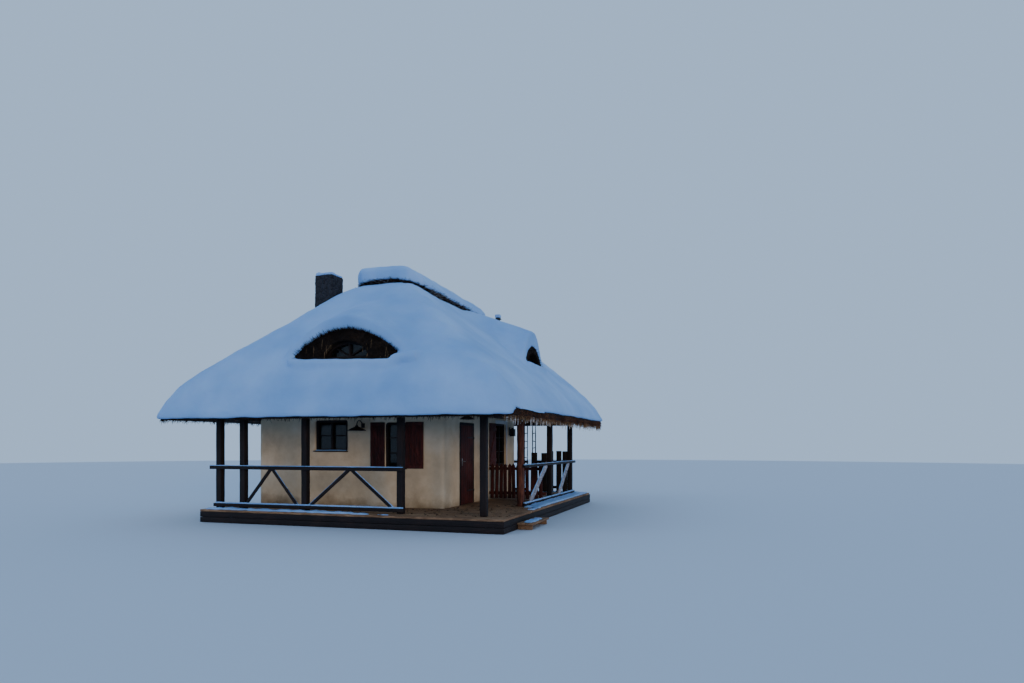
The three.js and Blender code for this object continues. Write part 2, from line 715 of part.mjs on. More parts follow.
function deckSkirt() {
  const inner = [
    [DECK.left + DECK_SKIRT, DECK.front + DECK_SKIRT], [DECK.right - DECK_SKIRT, DECK.front + DECK_SKIRT],
    [DECK.right - DECK_SKIRT, DECK.rear - DECK_SKIRT], [DECK.left + DECK_SKIRT, DECK.rear - DECK_SKIRT],
    [DECK.left + DECK_SKIRT, HOUSE.rear + GAP + DECK_SKIRT],
    [HOUSE.right + GAP + DECK_SKIRT, HOUSE.rear + GAP + DECK_SKIRT],
    [HOUSE.right + GAP + DECK_SKIRT, HOUSE.front - GAP - DECK_SKIRT],
    [DECK.left + DECK_SKIRT, HOUSE.front - GAP - DECK_SKIRT],
  ];
  return upright(DECK_PLAN, 0, DECK_TOP - DECK_BOARD + 5, [inner]);
}

piece('veranda_deck', 'board', joined(upright(DECK_PLAN, DECK_TOP - DECK_BOARD, DECK_TOP), deckSkirt()));

piece('entrance_step', 'board', joined(
  box(DECK.right + GAP, STEP.right, STEP.front, STEP.rear, STEP.top - STEP.board, STEP.top),
  box(DECK.right + GAP, STEP.right - 40, STEP.front + 60, STEP.front + 120, 0, STEP.top - 10),
  box(DECK.right + GAP, STEP.right - 40, STEP.rear - 120, STEP.rear - 60, 0, STEP.top - 10),
));

const BEAM_TOP = WALL_TOP;
const RAIL_PLANE = ROW_RIGHT + LOG_POST / 2; // outer face of the posts on the right side
const TRELLIS_X = 2316;

function post(name, x, y, size = POST) {
  const half = size / 2;
  piece(name, 'timber', box(x - half, x + half, y - half, y + half, DECK_TOP + GAP, BEAM.bottom - GAP));
}

// Two thin stakes side by side with short rungs between them
function trellis(name, x, y) {
  const { width, stake, rungs } = TRELLIS;
  const z0 = DECK_TOP + GAP;
  const z1 = BEAM.bottom - GAP;
  const outer = width / 2;
  const deep = stake / 2;
  const bars = rungs.map((z) => box(x - outer + 5, x + outer - 5, y - 12, y + 12, z - 15, z + 15));
  piece(name, 'timber', joined(
    box(x - outer, x - outer + stake, y - deep, y + deep, z0, z1),
    box(x + outer - stake, x + outer, y - deep, y + deep, z0, z1),
    ...bars,
  ));
}

post('post_front_corner', ROW_RIGHT, ROW_FRONT);
post('post_front_2', 1539, ROW_FRONT);
post('post_front_3', -860, ROW_FRONT);
post('post_front_4', -2540, ROW_FRONT);
post('post_front_left', HOUSE.left, ROW_FRONT);
post('post_side_2', ROW_RIGHT, -1130, LOG_POST);
post('post_side_3', RAIL_PLANE - REAR_POST / 2, 1500, REAR_POST);
post('post_rear_corner', RAIL_PLANE - REAR_POST / 2, ROW_REAR, REAR_POST);
trellis('post_rear_slim_a', TRELLIS_X, ROW_REAR);
trellis('post_rear_slim_b', 2050, ROW_REAR);
post('post_rear_middle', -500, ROW_REAR);
post('post_rear_left', HOUSE.left, ROW_REAR);

function eaveBeam() {
  const half = BEAM.width / 2;
  const left = HOUSE.left - half;
  const right = ROW_RIGHT + half;
  const top = BEAM_TOP - GAP;
  return joined(
    box(left, right, ROW_FRONT - half, ROW_FRONT + half, BEAM.bottom, top),
    box(left, right, ROW_REAR - half, ROW_REAR + half, BEAM.bottom, top),
    box(ROW_RIGHT - half, right, ROW_FRONT, ROW_REAR, BEAM.bottom, top),
    box(left, left + BEAM.width, ROW_FRONT, HOUSE.front - GAP, BEAM.bottom, top),
    box(left, left + BEAM.width, HOUSE.rear + GAP, ROW_REAR, BEAM.bottom, top),
  );
}

piece('eave_beam', 'timber', eaveBeam());

// Attic floor, the knee boards round its edge and the boarded rear gable

const ATTIC = { left: -3270, right: 3510, front: -3735, rear: 3973 };
const KNEE = 120;
const KNEE_TOP = 3425; // below the front dormer

piece('attic_floor', 'board', cut(
  box(ATTIC.left, ATTIC.right, ATTIC.front, ATTIC.rear, BEAM_TOP + GAP, CEILING_TOP),
  chimneyShaft(GAP, 0, 7000),
));

const UNDER_ROOF = atticSpace();

function kneeBoards() {
  const u = [
    [ATTIC.left, ATTIC.front], [ATTIC.right, ATTIC.front], [ATTIC.right, ATTIC.rear - KNEE - GAP],
    [ATTIC.right - KNEE, ATTIC.rear - KNEE - GAP], [ATTIC.right - KNEE, ATTIC.front + KNEE],
    [ATTIC.left + KNEE, ATTIC.front + KNEE], [ATTIC.left + KNEE, ATTIC.rear - KNEE - GAP],
    [ATTIC.left, ATTIC.rear - KNEE - GAP],
  ];
  return common(upright(u, CEILING_TOP + GAP, KNEE_TOP), UNDER_ROOF);
}

piece('eave_knee_boards', 'board', kneeBoards());
piece('rear_gable', 'board', common(
  box(ATTIC.left, ATTIC.right, ATTIC.rear - KNEE, ATTIC.rear, CEILING_TOP + GAP, 6000),
  UNDER_ROOF,
));

// Railings

const RAIL = { top: 1300, height: 80, depth: 50, foot: 345 };

// Straight plank between two points of a railing, drawn in its plane.
function plankOutline([a0, z0], [a1, z1], width) {
  const length = Math.hypot(a1 - a0, z1 - z0);
  const across = [(-(z1 - z0) / length) * (width / 2), ((a1 - a0) / length) * (width / 2)];
  return [
    [a0 - across[0], z0 - across[1]], [a1 - across[0], z1 - across[1]],
    [a1 + across[0], z1 + across[1]], [a0 + across[0], z0 + across[1]],
  ];
}

function frontRailing() {
  const back = ROW_FRONT - POST / 2 - GAP;
  const front = back - RAIL.depth;
  const bars = [
    rectangle(-3420, 1640, RAIL.top - RAIL.height, RAIL.top),
    rectangle(-3310, 1640, RAIL.foot, RAIL.foot + RAIL.height),
    plankOutline([-740, RAIL.foot + 20], [360, RAIL.top - 30], 75),
    plankOutline([1450, RAIL.foot + 20], [350, RAIL.top - 30], 75),
    plankOutline([-2440, RAIL.foot + 20], [-1690, RAIL.top - 30], 75),
    plankOutline([-960, RAIL.foot + 20], [-1700, RAIL.top - 30], 75),
  ];
  return joined(...bars.map((bar) => alongY(bar, front, back)));
}

function sideRailing() {
  const back = RAIL_PLANE + GAP;
  const bars = [
    rectangle(-1230, 4165, RAIL.top - 60, RAIL.top),
    rectangle(-1230, 4015, RAIL.foot - 40, RAIL.foot + 30),
    plankOutline([-731, RAIL.foot + 35], [790, RAIL.top - 30], 165),
    plankOutline([2105, RAIL.foot + 35], [3320, RAIL.top - 30], 165),
  ];
  return joined(...bars.map((bar) => alongX(bar, back, back + RAIL.depth)));
}

function rearRailing() {
  const back = ROW_REAR + POST / 2 + GAP;
  return joined(
    box(-3310, 2095, back, back + RAIL.depth, RAIL.top - RAIL.height, RAIL.top),
    box(-3310, 2095, back, back + RAIL.depth, RAIL.foot, RAIL.foot + RAIL.height),
    box(-1900, -1800, back, back + RAIL.depth, RAIL.foot, RAIL.top),
    box(700, 800, back, back + RAIL.depth, RAIL.foot, RAIL.top),
  );
}

piece('front_railing', 'timber', frontRailing());
piece('side_railing', 'timber', sideRailing());
piece('rear_railing', 'timber', rearRailing());

// Board parapet at the rear end of the side gallery, and the pointed pickets across it

// Left edge, width and top of each board, which stand in front of the rails
const PARAPET_BOARDS = [
  [2236, 200, 1555], [2564, 180, 1545], [2800, 160, 1600], [3050, 170, 1610], [3246, 152, 1600],
];

function rearParapet() {
  const x0 = TRELLIS_X + TRELLIS.width / 2 + GAP;
  const x1 = RAIL_PLANE - REAR_POST - GAP;
  const heights = [[430, 520], [1220, 1310]];
  const rails = heights.map(([z0, z1]) => box(x0, x1, ROW_REAR - 25, ROW_REAR + 15, z0, z1));
  const boards = PARAPET_BOARDS.map(([x, width, top]) => (
    box(x, x + width, ROW_REAR - 55, ROW_REAR - 22, 330, top)
  ));
  return joined(...rails, ...boards);
}

const PICKET = { y: 830, width: 98, pitch: 127, foot: 340, shoulder: 1225, top: 1290 };

function galleryPickets() {
  const x0 = HOUSE.right + GAP;
  const x1 = RAIL_PLANE;
  const { y, width, foot, shoulder, top } = PICKET;
  const rails = [[440, 520], [1100, 1188]].map(([z0, z1]) => box(x0, x1, y, y + 40, z0, z1));
  const pickets = [];
  for (let x = x0 + 45; x + width < x1; x += PICKET.pitch) {
    const pointed = [
      [x, foot], [x + width, foot], [x + width, shoulder], [x + width / 2, top], [x, shoulder],
    ];
    pickets.push(alongY(pointed, y - 24, y + 6));
  }
  return joined(...rails, ...pickets);
}

piece('rear_parapet', 'board', rearParapet());
piece('gallery_pickets', 'paint', galleryPickets());

// Dormer windows: half-round frame and pane set back in the reed face

function dormerWindow(centre, sill, isFront) {
  const { half, height } = WINDOW_ARCH;
  const outer = halfEllipse(centre, half - 0.5, sill + GAP, height - 0.8);
  const inner = halfEllipse(centre, half - 60, sill + 55, height - 112);
  const pane = halfEllipse(centre, half - 40, sill + 35, height - 72);
  if (isFront) {
    const face = FRONT_DORMER.face + PANE_SET_BACK;
    const bar = box(centre - 20, centre + 20, face, face + 60, sill + 50, sill + height - 50);
    return [
      joined(alongY(outer, face, face + 60, [inner]), bar),
      alongY(pane, face + 60 + GAP, face + 68 + GAP),
    ];
  }
  const face = SIDE_DORMER.face - PANE_SET_BACK;
  const bar = box(face - 60, face, centre - 25, centre + 25, sill + 50, sill + height - 50);
  return [
    joined(alongX(outer, face - 60, face, [inner]), bar),
    alongX(pane, face - 68 - GAP, face - 60 - GAP),
  ];
}

const [frontDormerFrame, frontDormerGlass] = dormerWindow(FRONT_DORMER.centre, FRONT_SILL, true);
piece('front_dormer_frame', 'timber', frontDormerFrame);
piece('front_dormer_glass', 'glass', frontDormerGlass);
const [sideDormerFrame, sideDormerGlass] = dormerWindow(SIDE_DORMER.centre, SIDE_SILL, false);
piece('side_dormer_frame', 'timber', sideDormerFrame);
piece('side_dormer_glass', 'glass', sideDormerGlass);

// Chimney and vent pipe

function chimney() {
  const flue = box(CHIMNEY.x - 130, CHIMNEY.x + 130, CHIMNEY.y - 130, CHIMNEY.y + 130,
    CHIMNEY.top - 900, CHIMNEY.top + 50);
  return cut(chimneyShaft(0, 0, CHIMNEY.top), flue);
}

function ventPipe() {
  const pipe = ventShaft(0, CEILING_TOP + GAP, VENT.top);
  const hood = new THREE.CylinderGeometry(30, 110, 110, 16);
  return joined(pipe, hood.rotateX(Math.PI / 2).translate(VENT.x, VENT.y, VENT.top + 45));
}

piece('chimney', 'stone', chimney());
piece('vent_pipe', 'metal', ventPipe());

// Lamps: a gooseneck with a dish shade on the front wall, a small lantern on the side wall,
// and a dish on a short stem under the veranda ceiling, in front of the entrance

function frontLamp() {
  const x = -195;
  const wall = HOUSE.front - GAP;
  const route = new THREE.CatmullRomCurve3([
    new THREE.Vector3(x, wall - 13, 2260), new THREE.Vector3(x, wall - 70, 2330),
    new THREE.Vector3(x, wall - 190, 2380), new THREE.Vector3(x, wall - 290, 2310),
    new THREE.Vector3(x, wall - 300, 2230),
  ]);
  const ring = [];
  for (let i = 0; i < 8; i += 1) {
    ring.push([12 * Math.cos((Math.PI * i) / 4), 12 * Math.sin((Math.PI * i) / 4)]);
  }
  const settings = { steps: 14, extrudePath: route, bevelEnabled: false };
  const neck = new THREE.ExtrudeGeometry(outline(ring), settings);
  const profile = [[0, 2128], [212, 2128], [222, 2138], [130, 2190], [48, 2222], [35, 2255], [0, 2255]];
  const shade = new THREE.LatheGeometry(profile.map(([r, z]) => new THREE.Vector2(r, z)), 20);
  shade.rotateX(Math.PI / 2).translate(x, wall - 300, 0);
  return joined(box(x - 45, x + 45, wall - 14, wall, 2205, 2315), neck, shade);
}

function sideLantern() {
  const y = 2600;
  const wall = HOUSE.right + GAP;
  return joined(
    box(wall, wall + 12, y - 50, y + 50, 2080, 2320),
    box(wall + 5, wall + 90, y - 12, y + 12, 2290, 2310),
    box(wall + 40, wall + 180, y - 70, y + 70, 2050, 2270),
    box(wall + 80, wall + 140, y - 30, y + 30, 2260, 2305),
  );
}

function verandaLamp() {
  const rim = 2360;
  const top = BEAM_TOP;
  const profile = [
    [0, rim], [160, rim], [166, rim + 10], [100, rim + 55], [34, rim + 85], [14, rim + 92],
    [14, top - 12], [45, top - 8], [45, top], [0, top],
  ];
  const dish = new THREE.LatheGeometry(profile.map(([r, z]) => new THREE.Vector2(r, z)), 20);
  return dish.rotateX(Math.PI / 2).translate(2700, -2750, 0);
}

piece('front_wall_lamp', 'metal', frontLamp());
piece('veranda_lamp', 'metal', verandaLamp());
piece('side_wall_lantern', 'metal', sideLantern());

export default cottage;
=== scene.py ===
# %% [markdown]
# This lesson dresses a thatched cottage under heavy snow. Its solids arrive finished, in metres, each at
# its own place, and they carry the shape of the house. What is too fine for solids is made here: the soft
# surface of the snow, brushy reed ends, boards with joints between them, window bars and every material.
# The solids are never moved. A piece that needs more detail is modelled again in the same place, and the
# solid is hidden behind it.

import math
import random
from contextlib import contextmanager

import bmesh
import bpy
import numpy as np
from mathutils import Matrix, Vector


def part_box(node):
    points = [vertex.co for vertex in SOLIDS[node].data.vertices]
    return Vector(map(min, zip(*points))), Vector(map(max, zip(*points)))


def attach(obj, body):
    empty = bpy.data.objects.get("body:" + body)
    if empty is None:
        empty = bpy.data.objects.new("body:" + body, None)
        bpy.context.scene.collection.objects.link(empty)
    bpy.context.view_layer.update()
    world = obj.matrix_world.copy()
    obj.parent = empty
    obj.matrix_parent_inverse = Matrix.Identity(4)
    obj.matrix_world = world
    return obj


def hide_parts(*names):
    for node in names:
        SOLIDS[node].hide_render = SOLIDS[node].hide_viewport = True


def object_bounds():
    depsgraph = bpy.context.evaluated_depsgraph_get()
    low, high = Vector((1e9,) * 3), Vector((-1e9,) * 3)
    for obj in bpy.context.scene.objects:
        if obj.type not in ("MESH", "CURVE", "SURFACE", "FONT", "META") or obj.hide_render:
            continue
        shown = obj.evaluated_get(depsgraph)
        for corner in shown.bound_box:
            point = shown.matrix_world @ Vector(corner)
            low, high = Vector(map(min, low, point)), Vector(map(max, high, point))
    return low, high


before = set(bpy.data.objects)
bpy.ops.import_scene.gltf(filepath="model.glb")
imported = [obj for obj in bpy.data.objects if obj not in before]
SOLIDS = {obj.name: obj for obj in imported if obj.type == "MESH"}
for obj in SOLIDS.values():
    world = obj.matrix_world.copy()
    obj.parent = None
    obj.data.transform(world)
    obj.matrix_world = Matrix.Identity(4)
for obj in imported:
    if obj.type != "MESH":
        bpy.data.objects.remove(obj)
CAD_BOX = [[round(v, 4) for v in corner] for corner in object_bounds()]
SCENE = bpy.context.scene
print(len(SOLIDS), "solids in the box", CAD_BOX)

# %% [markdown]
# The photograph was taken from the garden at eye height, in front of the right-hand corner, with the camera
# held level so that every wall stays upright. A level camera would put the horizon in the middle of the
# picture. Here it lies lower, so the lens is shifted up a little instead of tilting the camera.

# %% Camera
PHOTO_WIDTH, PHOTO_HEIGHT = 1024, 683
FOCAL_PIXELS = 697.3
HORIZON_ROW = 445.4

lens = bpy.data.cameras.new("garden_view")
lens.sensor_width = 36.0
lens.lens = FOCAL_PIXELS / PHOTO_WIDTH * lens.sensor_width
lens.shift_y = (HORIZON_ROW - PHOTO_HEIGHT / 2) / PHOTO_WIDTH
lens.clip_end = 300.0
garden_view = bpy.data.objects.new("garden_view", lens)
SCENE.collection.objects.link(garden_view)
garden_view.location = (8.492, -17.246, 1.779)
garden_view.rotation_euler = (math.radians(90), 0, math.radians(18.08))
SCENE.camera = garden_view
print("lens", round(lens.lens, 1), "mm, shift", round(lens.shift_y, 3))

# %% [markdown]
# Snow is almost white, so it shows its form only through soft shade. An even, slightly blue sky lights it
# from above, and a weak wide lamp from the left gives its slopes a gentle tone. The eaves keep that light
# off the walls, so a low warm lamp from the front right reaches in under them. The floor is a plain pale
# disc, far larger than the house.

# %% Floor and light
def colour(code):
    """An sRGB hex code as linear red, green, blue and alpha."""
    channels = [int(code[i : i + 2], 16) / 255 for i in (1, 3, 5)]
    linear = [c / 12.92 if c <= 0.04045 else ((c + 0.055) / 1.055) ** 2.4 for c in channels]
    return (*linear, 1.0)


bpy.ops.mesh.primitive_circle_add(vertices=96, radius=70, fill_type="NGON", location=(0, 0, 0))
studio_floor = bpy.context.object
studio_floor.name = "studio_floor"
floor_paint = bpy.data.materials.new("pale_floor")
floor_paint.use_nodes = True
floor_shader = floor_paint.node_tree.nodes["Principled BSDF"]
floor_shader.inputs["Base Color"].default_value = colour("#bcc9d8")
floor_shader.inputs["Roughness"].default_value = 0.9
studio_floor.data.materials.append(floor_paint)

sky = bpy.data.worlds.new("even_sky")
sky.use_nodes = True
sky.node_tree.nodes["Background"].inputs["Color"].default_value = colour("#a9c6e8")
sky.node_tree.nodes["Background"].inputs["Strength"].default_value = 1.05
SCENE.world = sky


def soft_sun(name, energy, spread, tilt, turn, tint):
    """A sun lamp with a wide disc, so that its shadows are soft. Angles are in degrees."""
    data = bpy.data.lights.new(name, "SUN")
    data.energy = energy
    data.angle = math.radians(spread)
    data.color = colour(tint)[:3]
    lamp = bpy.data.objects.new(name, data)
    lamp.rotation_euler = (math.radians(tilt), 0, math.radians(turn))
    SCENE.collection.objects.link(lamp)


soft_sun("key_from_the_left", 0.3, 24, 52, -52, "#cfe0ff")
soft_sun("low_light_on_the_walls", 0.95, 16, 82, 46, "#ffd9ae")

# %% [markdown]
# Every material is built from nodes, from what the real one is. Three helpers are enough: one starts a
# material, one adds a node with its settings and links, and one links the results to the shader. Patterns
# read Object coordinates, which are metres here, because each piece has its place in its mesh. A noise of
# scale 10 has features about 100 mm across.

# %% Helpers for materials
def new_material(name, roughness, specular=0.5):
    """A material with its tree, its shader and the place of each point in metres."""
    finish = bpy.data.materials.new(name)
    finish.use_nodes = True
    tree = finish.node_tree
    shader = tree.nodes["Principled BSDF"]
    shader.inputs["Roughness"].default_value = roughness
    shader.inputs["Specular IOR Level"].default_value = specular
    place = tree.nodes.new("ShaderNodeTexCoord").outputs["Object"]
    return finish, tree, shader, place


def add(tree, kind, inputs=None, stops=None, out=0, **settings):
    """Adds one node. Inputs are values or links, stops are the places and hex codes of a colour ramp."""
    item = tree.nodes.new("ShaderNode" + kind)
    for name, value in settings.items():
        setattr(item, name, value)
    for name, value in (inputs or {}).items():
        if isinstance(value, bpy.types.NodeSocket):
            tree.links.new(value, item.inputs[name])
        else:
            item.inputs[name].default_value = value
    if stops:
        ramp = item.color_ramp
        while len(ramp.elements) < len(stops):
            ramp.elements.new(0.5)
        for element, (spot, code) in zip(ramp.elements, stops):
            element.position = spot
            element.color = colour(code)
    return item.outputs[out]


def show(tree, shader, tint, relief):
    """Links the colour and the relief to the shader."""
    tree.links.new(tint, shader.inputs["Base Color"])
    tree.links.new(relief, shader.inputs["Normal"])


# %% [markdown]
# Settled snow is a white, slightly see-through heap of ice grains, and under a dusk sky it looks blue: that
# blue light is painted into its base colour here.
# Large soft drifts give it broad tones, and grains of a few millimetres give it a dull sparkle. The grains
# are drawn at about 15 mm, the finest that a picture of a whole house shows. A little light passes through
# it, which softens its shadows.

# %% Settled snow
SNOW, tree, shader, place = new_material("settled_snow", 0.62, 0.35)
drifts = add(tree, "TexNoise", {"Vector": place, "Scale": 0.9, "Detail": 4.0, "Roughness": 0.45})
ripples = add(tree, "TexNoise", {"Vector": place, "Scale": 7.0, "Detail": 3.0, "Roughness": 0.5})
grains = add(tree, "TexNoise", {"Vector": place, "Scale": 66.0, "Detail": 2.0, "Roughness": 0.7})
# painted light: the white snow's base colour is blue, for the dusk sky that lights it
tone = add(tree, "ValToRGB", {"Fac": drifts}, stops=[(0.3, "#719fd5"), (0.7, "#8cb5e5")])
heave = add(tree, "Bump", {"Height": ripples, "Strength": 0.35, "Distance": 0.03})
sparkle = add(tree, "Bump", {"Height": grains, "Normal": heave, "Strength": 0.5, "Distance": 0.006})
show(tree, shader, tone, sparkle)
shader.inputs["Subsurface Weight"].default_value = 0.12
shader.inputs["Subsurface Scale"].default_value = 0.05

# %% [markdown]
# Ice on the reed tips froze from meltwater, so it is clear with a rough skin. Ice bends light less than
# glass.

# %% Ice
ICE, tree, shader, place = new_material("frozen_meltwater", 0.22)
shader.inputs["IOR"].default_value = 1.31
shader.inputs["Transmission Weight"].default_value = 0.65
clouding = add(tree, "TexNoise", {"Vector": place, "Scale": 30.0, "Detail": 2.0})
milky = add(tree, "ValToRGB", {"Fac": clouding}, stops=[(0.35, "#cfdbe4"), (0.7, "#f4f8fb")])
show(tree, shader, milky, add(tree, "Bump", {"Height": clouding, "Strength": 0.4, "Distance": 0.01}))

# %% [markdown]
# Water reed thatch is a thick coat of stalks 5 to 8 mm across, laid along the slope and cut at the eave, so
# what shows there is a close field of stalk ends. They are drawn 18 mm wide, and the gaps between them get
# painted shade. Weathering gives them brown and grey patches half a metre wide. The ridge is capped with
# heather, which is darker, and some stalks are straw or white with frost. The tips along the right eave
# use a paler, warmer copy of the reed, with warm light painted into it.

# %% Reed
def reed_material(name, dark, middle, light):
    """Thatch whose cut ends show."""
    finish, tree, shader, place = new_material(name, 0.88, 0.2)
    ends = add(tree, "TexVoronoi", {"Vector": place, "Scale": 55.0})
    streaks = add(tree, "TexNoise", {"Vector": place, "Scale": 28.0, "Detail": 5.0, "Roughness": 0.7})
    weather = add(tree, "TexNoise", {"Vector": place, "Scale": 2.2, "Detail": 3.0})
    mixed = add(tree, "Math", {0: streaks, 1: weather, 2: 0.0}, operation="MULTIPLY_ADD")
    tint = add(tree, "ValToRGB", {"Fac": mixed}, stops=[(0.12, dark), (0.3, middle), (0.5, light)])
    # painted shade: each stalk end darkens towards the gaps around it
    painted_gap_shade = add(tree, "ValToRGB", {"Fac": ends}, stops=[(0.0, "#ffffff"), (0.75, "#4c4742")])
    shaded = add(tree, "Mix", {6: tint, 7: painted_gap_shade, 0: 0.75}, out=2, data_type="RGBA", blend_type="MULTIPLY")
    bump = add(tree, "Bump", {"Height": ends, "Strength": 0.8, "Distance": 0.02}, invert=True)
    fuzz = add(tree, "Bump", {"Height": streaks, "Normal": bump, "Strength": 0.5, "Distance": 0.02})
    show(tree, shader, shaded, fuzz)
    return finish


REED = reed_material("weathered_reed", "#0f0b0b", "#2b2019", "#51402f")
HEATHER = reed_material("heather_ridge", "#0f0b0a", "#2a1f1a", "#4a382b")
STRAW = reed_material("dry_straw", "#6b5844", "#a58d6c", "#dcc9a2")
# painted light: a paler, warmer copy of the reed, for the right eave in warm light
WARM_LIT_REED = reed_material("painted_lit_reed", "#3f271b", "#85604a", "#c09a74")
FROSTED = reed_material("frosted_heather", "#5a6068", "#9aa7b5", "#e6edf4")
print("snow, ice and reed are ready")

# %% [markdown]
# Lime plaster is trowelled on by hand, so the wall is never flat: it swells and dips over about 150 mm, and
# sand gives it a fine tooth. Its grey-cream wash is patchy, and rain splash and dirt darken its foot.

# %% Lime plaster
PLASTER, tree, shader, place = new_material("cream_lime_plaster", 0.9, 0.25)
wash = add(tree, "TexNoise", {"Vector": place, "Scale": 1.3, "Detail": 5.0, "Roughness": 0.6})
trowel = add(tree, "TexNoise", {"Vector": place, "Scale": 7.0, "Detail": 3.0})
sand = add(tree, "TexNoise", {"Vector": place, "Scale": 120.0, "Detail": 2.0})
cream = add(tree, "ValToRGB", {"Fac": wash}, stops=[(0.3, "#b3a38a"), (0.5, "#cbbb9f"), (0.72, "#ddd1ba")])
height = add(tree, "SeparateXYZ", {"Vector": place}, out=2)
level = add(tree, "MapRange", {"Value": height, "From Min": 0.28, "From Max": 0.95})
ragged = add(tree, "Math", {0: level, 1: wash}, operation="ADD")
splash = add(tree, "ValToRGB", {"Fac": ragged}, stops=[(0.42, "#8d7f68"), (0.85, "#ffffff")])
dirty = add(tree, "Mix", {6: cream, 7: splash, 0: 0.8}, out=2, data_type="RGBA", blend_type="MULTIPLY")
waves = add(tree, "Bump", {"Height": trowel, "Strength": 0.55, "Distance": 0.03})
tooth = add(tree, "Bump", {"Height": sand, "Normal": waves, "Strength": 0.35, "Distance": 0.004})
show(tree, shader, dirty, tooth)

# %% [markdown]
# The timber is softwood under a dark stain that has weathered. Its grain runs along each piece, so the
# noise is squeezed across the grain and stretched ten times along it, and there is one finish for each
# direction. Grain lines are about 12 mm apart here, twice their real spacing, so that they show.

# %% Stained timber
def stained_timber(name, along, dark, middle, light, roughness=0.72):
    """Wood with its grain along X, Y or Z."""
    finish, tree, shader, place = new_material(name, roughness, 0.3)
    stretch = [0.1 if axis == along else 1.0 for axis in "XYZ"]
    laid = add(tree, "Mapping", {"Vector": place, "Scale": stretch})
    grain = add(tree, "TexNoise", {"Vector": laid, "Scale": 42.0, "Detail": 5.0, "Roughness": 0.65})
    patches = add(tree, "TexNoise", {"Vector": place, "Scale": 1.7, "Detail": 3.0})
    lines = add(tree, "Math", {0: grain, 1: 0.65}, operation="MULTIPLY")
    mixed = add(tree, "Math", {0: patches, 1: 0.4, 2: lines}, operation="MULTIPLY_ADD")
    tint = add(tree, "ValToRGB", {"Fac": mixed}, stops=[(0.36, dark), (0.53, middle), (0.68, light)])
    checks = add(tree, "ValToRGB", {"Fac": grain}, stops=[(0.33, "#000000"), (0.5, "#ffffff")])
    show(tree, shader, tint, add(tree, "Bump", {"Height": checks, "Strength": 0.6, "Distance": 0.008}))
    return finish


def stained(name, directions, *tones):
    """The same stain with its grain in each direction."""
    return {axis: stained_timber(f"{name}_{axis.lower()}", axis, *tones) for axis in directions}


TIMBER = stained("stained_pine", "XYZ", "#060408", "#120b0e", "#271a18")
PAINTED = stained("oxblood_stain", "YZ", "#150707", "#3a1311", "#5f2821")
LOG = stained_timber("barked_log", "Z", "#1c0e0b", "#502b20", "#7a4832", 0.8)
DECKING = stained("worn_decking", "XY", "#4a3627", "#7c6149", "#a68a6c", 0.8)
FROSTED_PLANK = stained_timber("frosted_plank", "Y", "#4c4a52", "#8b8e9a", "#c0c5cf", 0.75)
PALE_TRIM = stained_timber("pale_trim_paint", "Z", "#9a9a9c", "#b9b8b8", "#d2d0cc", 0.6)

# %% [markdown]
# Inside, and on the boarded gable, are plain sawn boards 140 mm wide. A brick pattern with very long, thin
# bricks gives each board its own tone and a dark joint of 6 mm. The pattern is flat, so the place of each
# point is first sorted into a distance along the boards and one across them.

# %% Sawn boards
def boarded(name, upright, first, second):
    """Boards with joints: upright ones on walls, or lying ones that run along X."""
    finish, tree, shader, place = new_material(name, 0.8, 0.3)
    x, y, z = add(tree, "SeparateXYZ", {"Vector": place}).node.outputs
    sideways = add(tree, "Math", {0: x, 1: y}, operation="ADD")
    flat = add(tree, "CombineXYZ", {0: z, 1: sideways} if upright else {0: x, 1: y})
    sizes = {"Scale": 1.0, "Brick Width": 3.1, "Row Height": 0.14, "Mortar Size": 0.003}
    tones = {"Color1": colour(first), "Color2": colour(second), "Mortar": colour("#0c0806")}
    boards = add(tree, "TexBrick", {"Vector": flat, **tones, **sizes})
    laid = add(tree, "Mapping", {"Vector": place, "Scale": [1, 1, 0.1] if upright else [0.1, 1, 1]})
    grain = add(tree, "TexNoise", {"Vector": laid, "Scale": 40.0, "Detail": 4.0})
    shade = add(tree, "ValToRGB", {"Fac": grain}, stops=[(0.3, "#8a8580"), (0.65, "#ffffff")])
    tint = add(tree, "Mix", {6: boards, 7: shade, 0: 0.9}, out=2, data_type="RGBA", blend_type="MULTIPLY")
    show(tree, shader, tint, add(tree, "Bump", {"Height": grain, "Strength": 0.3, "Distance": 0.006}))
    return finish


FLOOR_BOARDS = boarded("sawn_floor_boards", False, "#6d5640", "#8a7054")
DARK_BOARDS = boarded("dark_upright_boards", True, "#2f2019", "#4a3428")
print("plaster, timber and boards are ready")

# %% [markdown]
# The chimney is built of small rough stones of about 95 mm in lime mortar, blackened by smoke, and the
# footing of larger field stones. Cells with a distance to their edge give stones and joints, and frost sits
# in the joints.

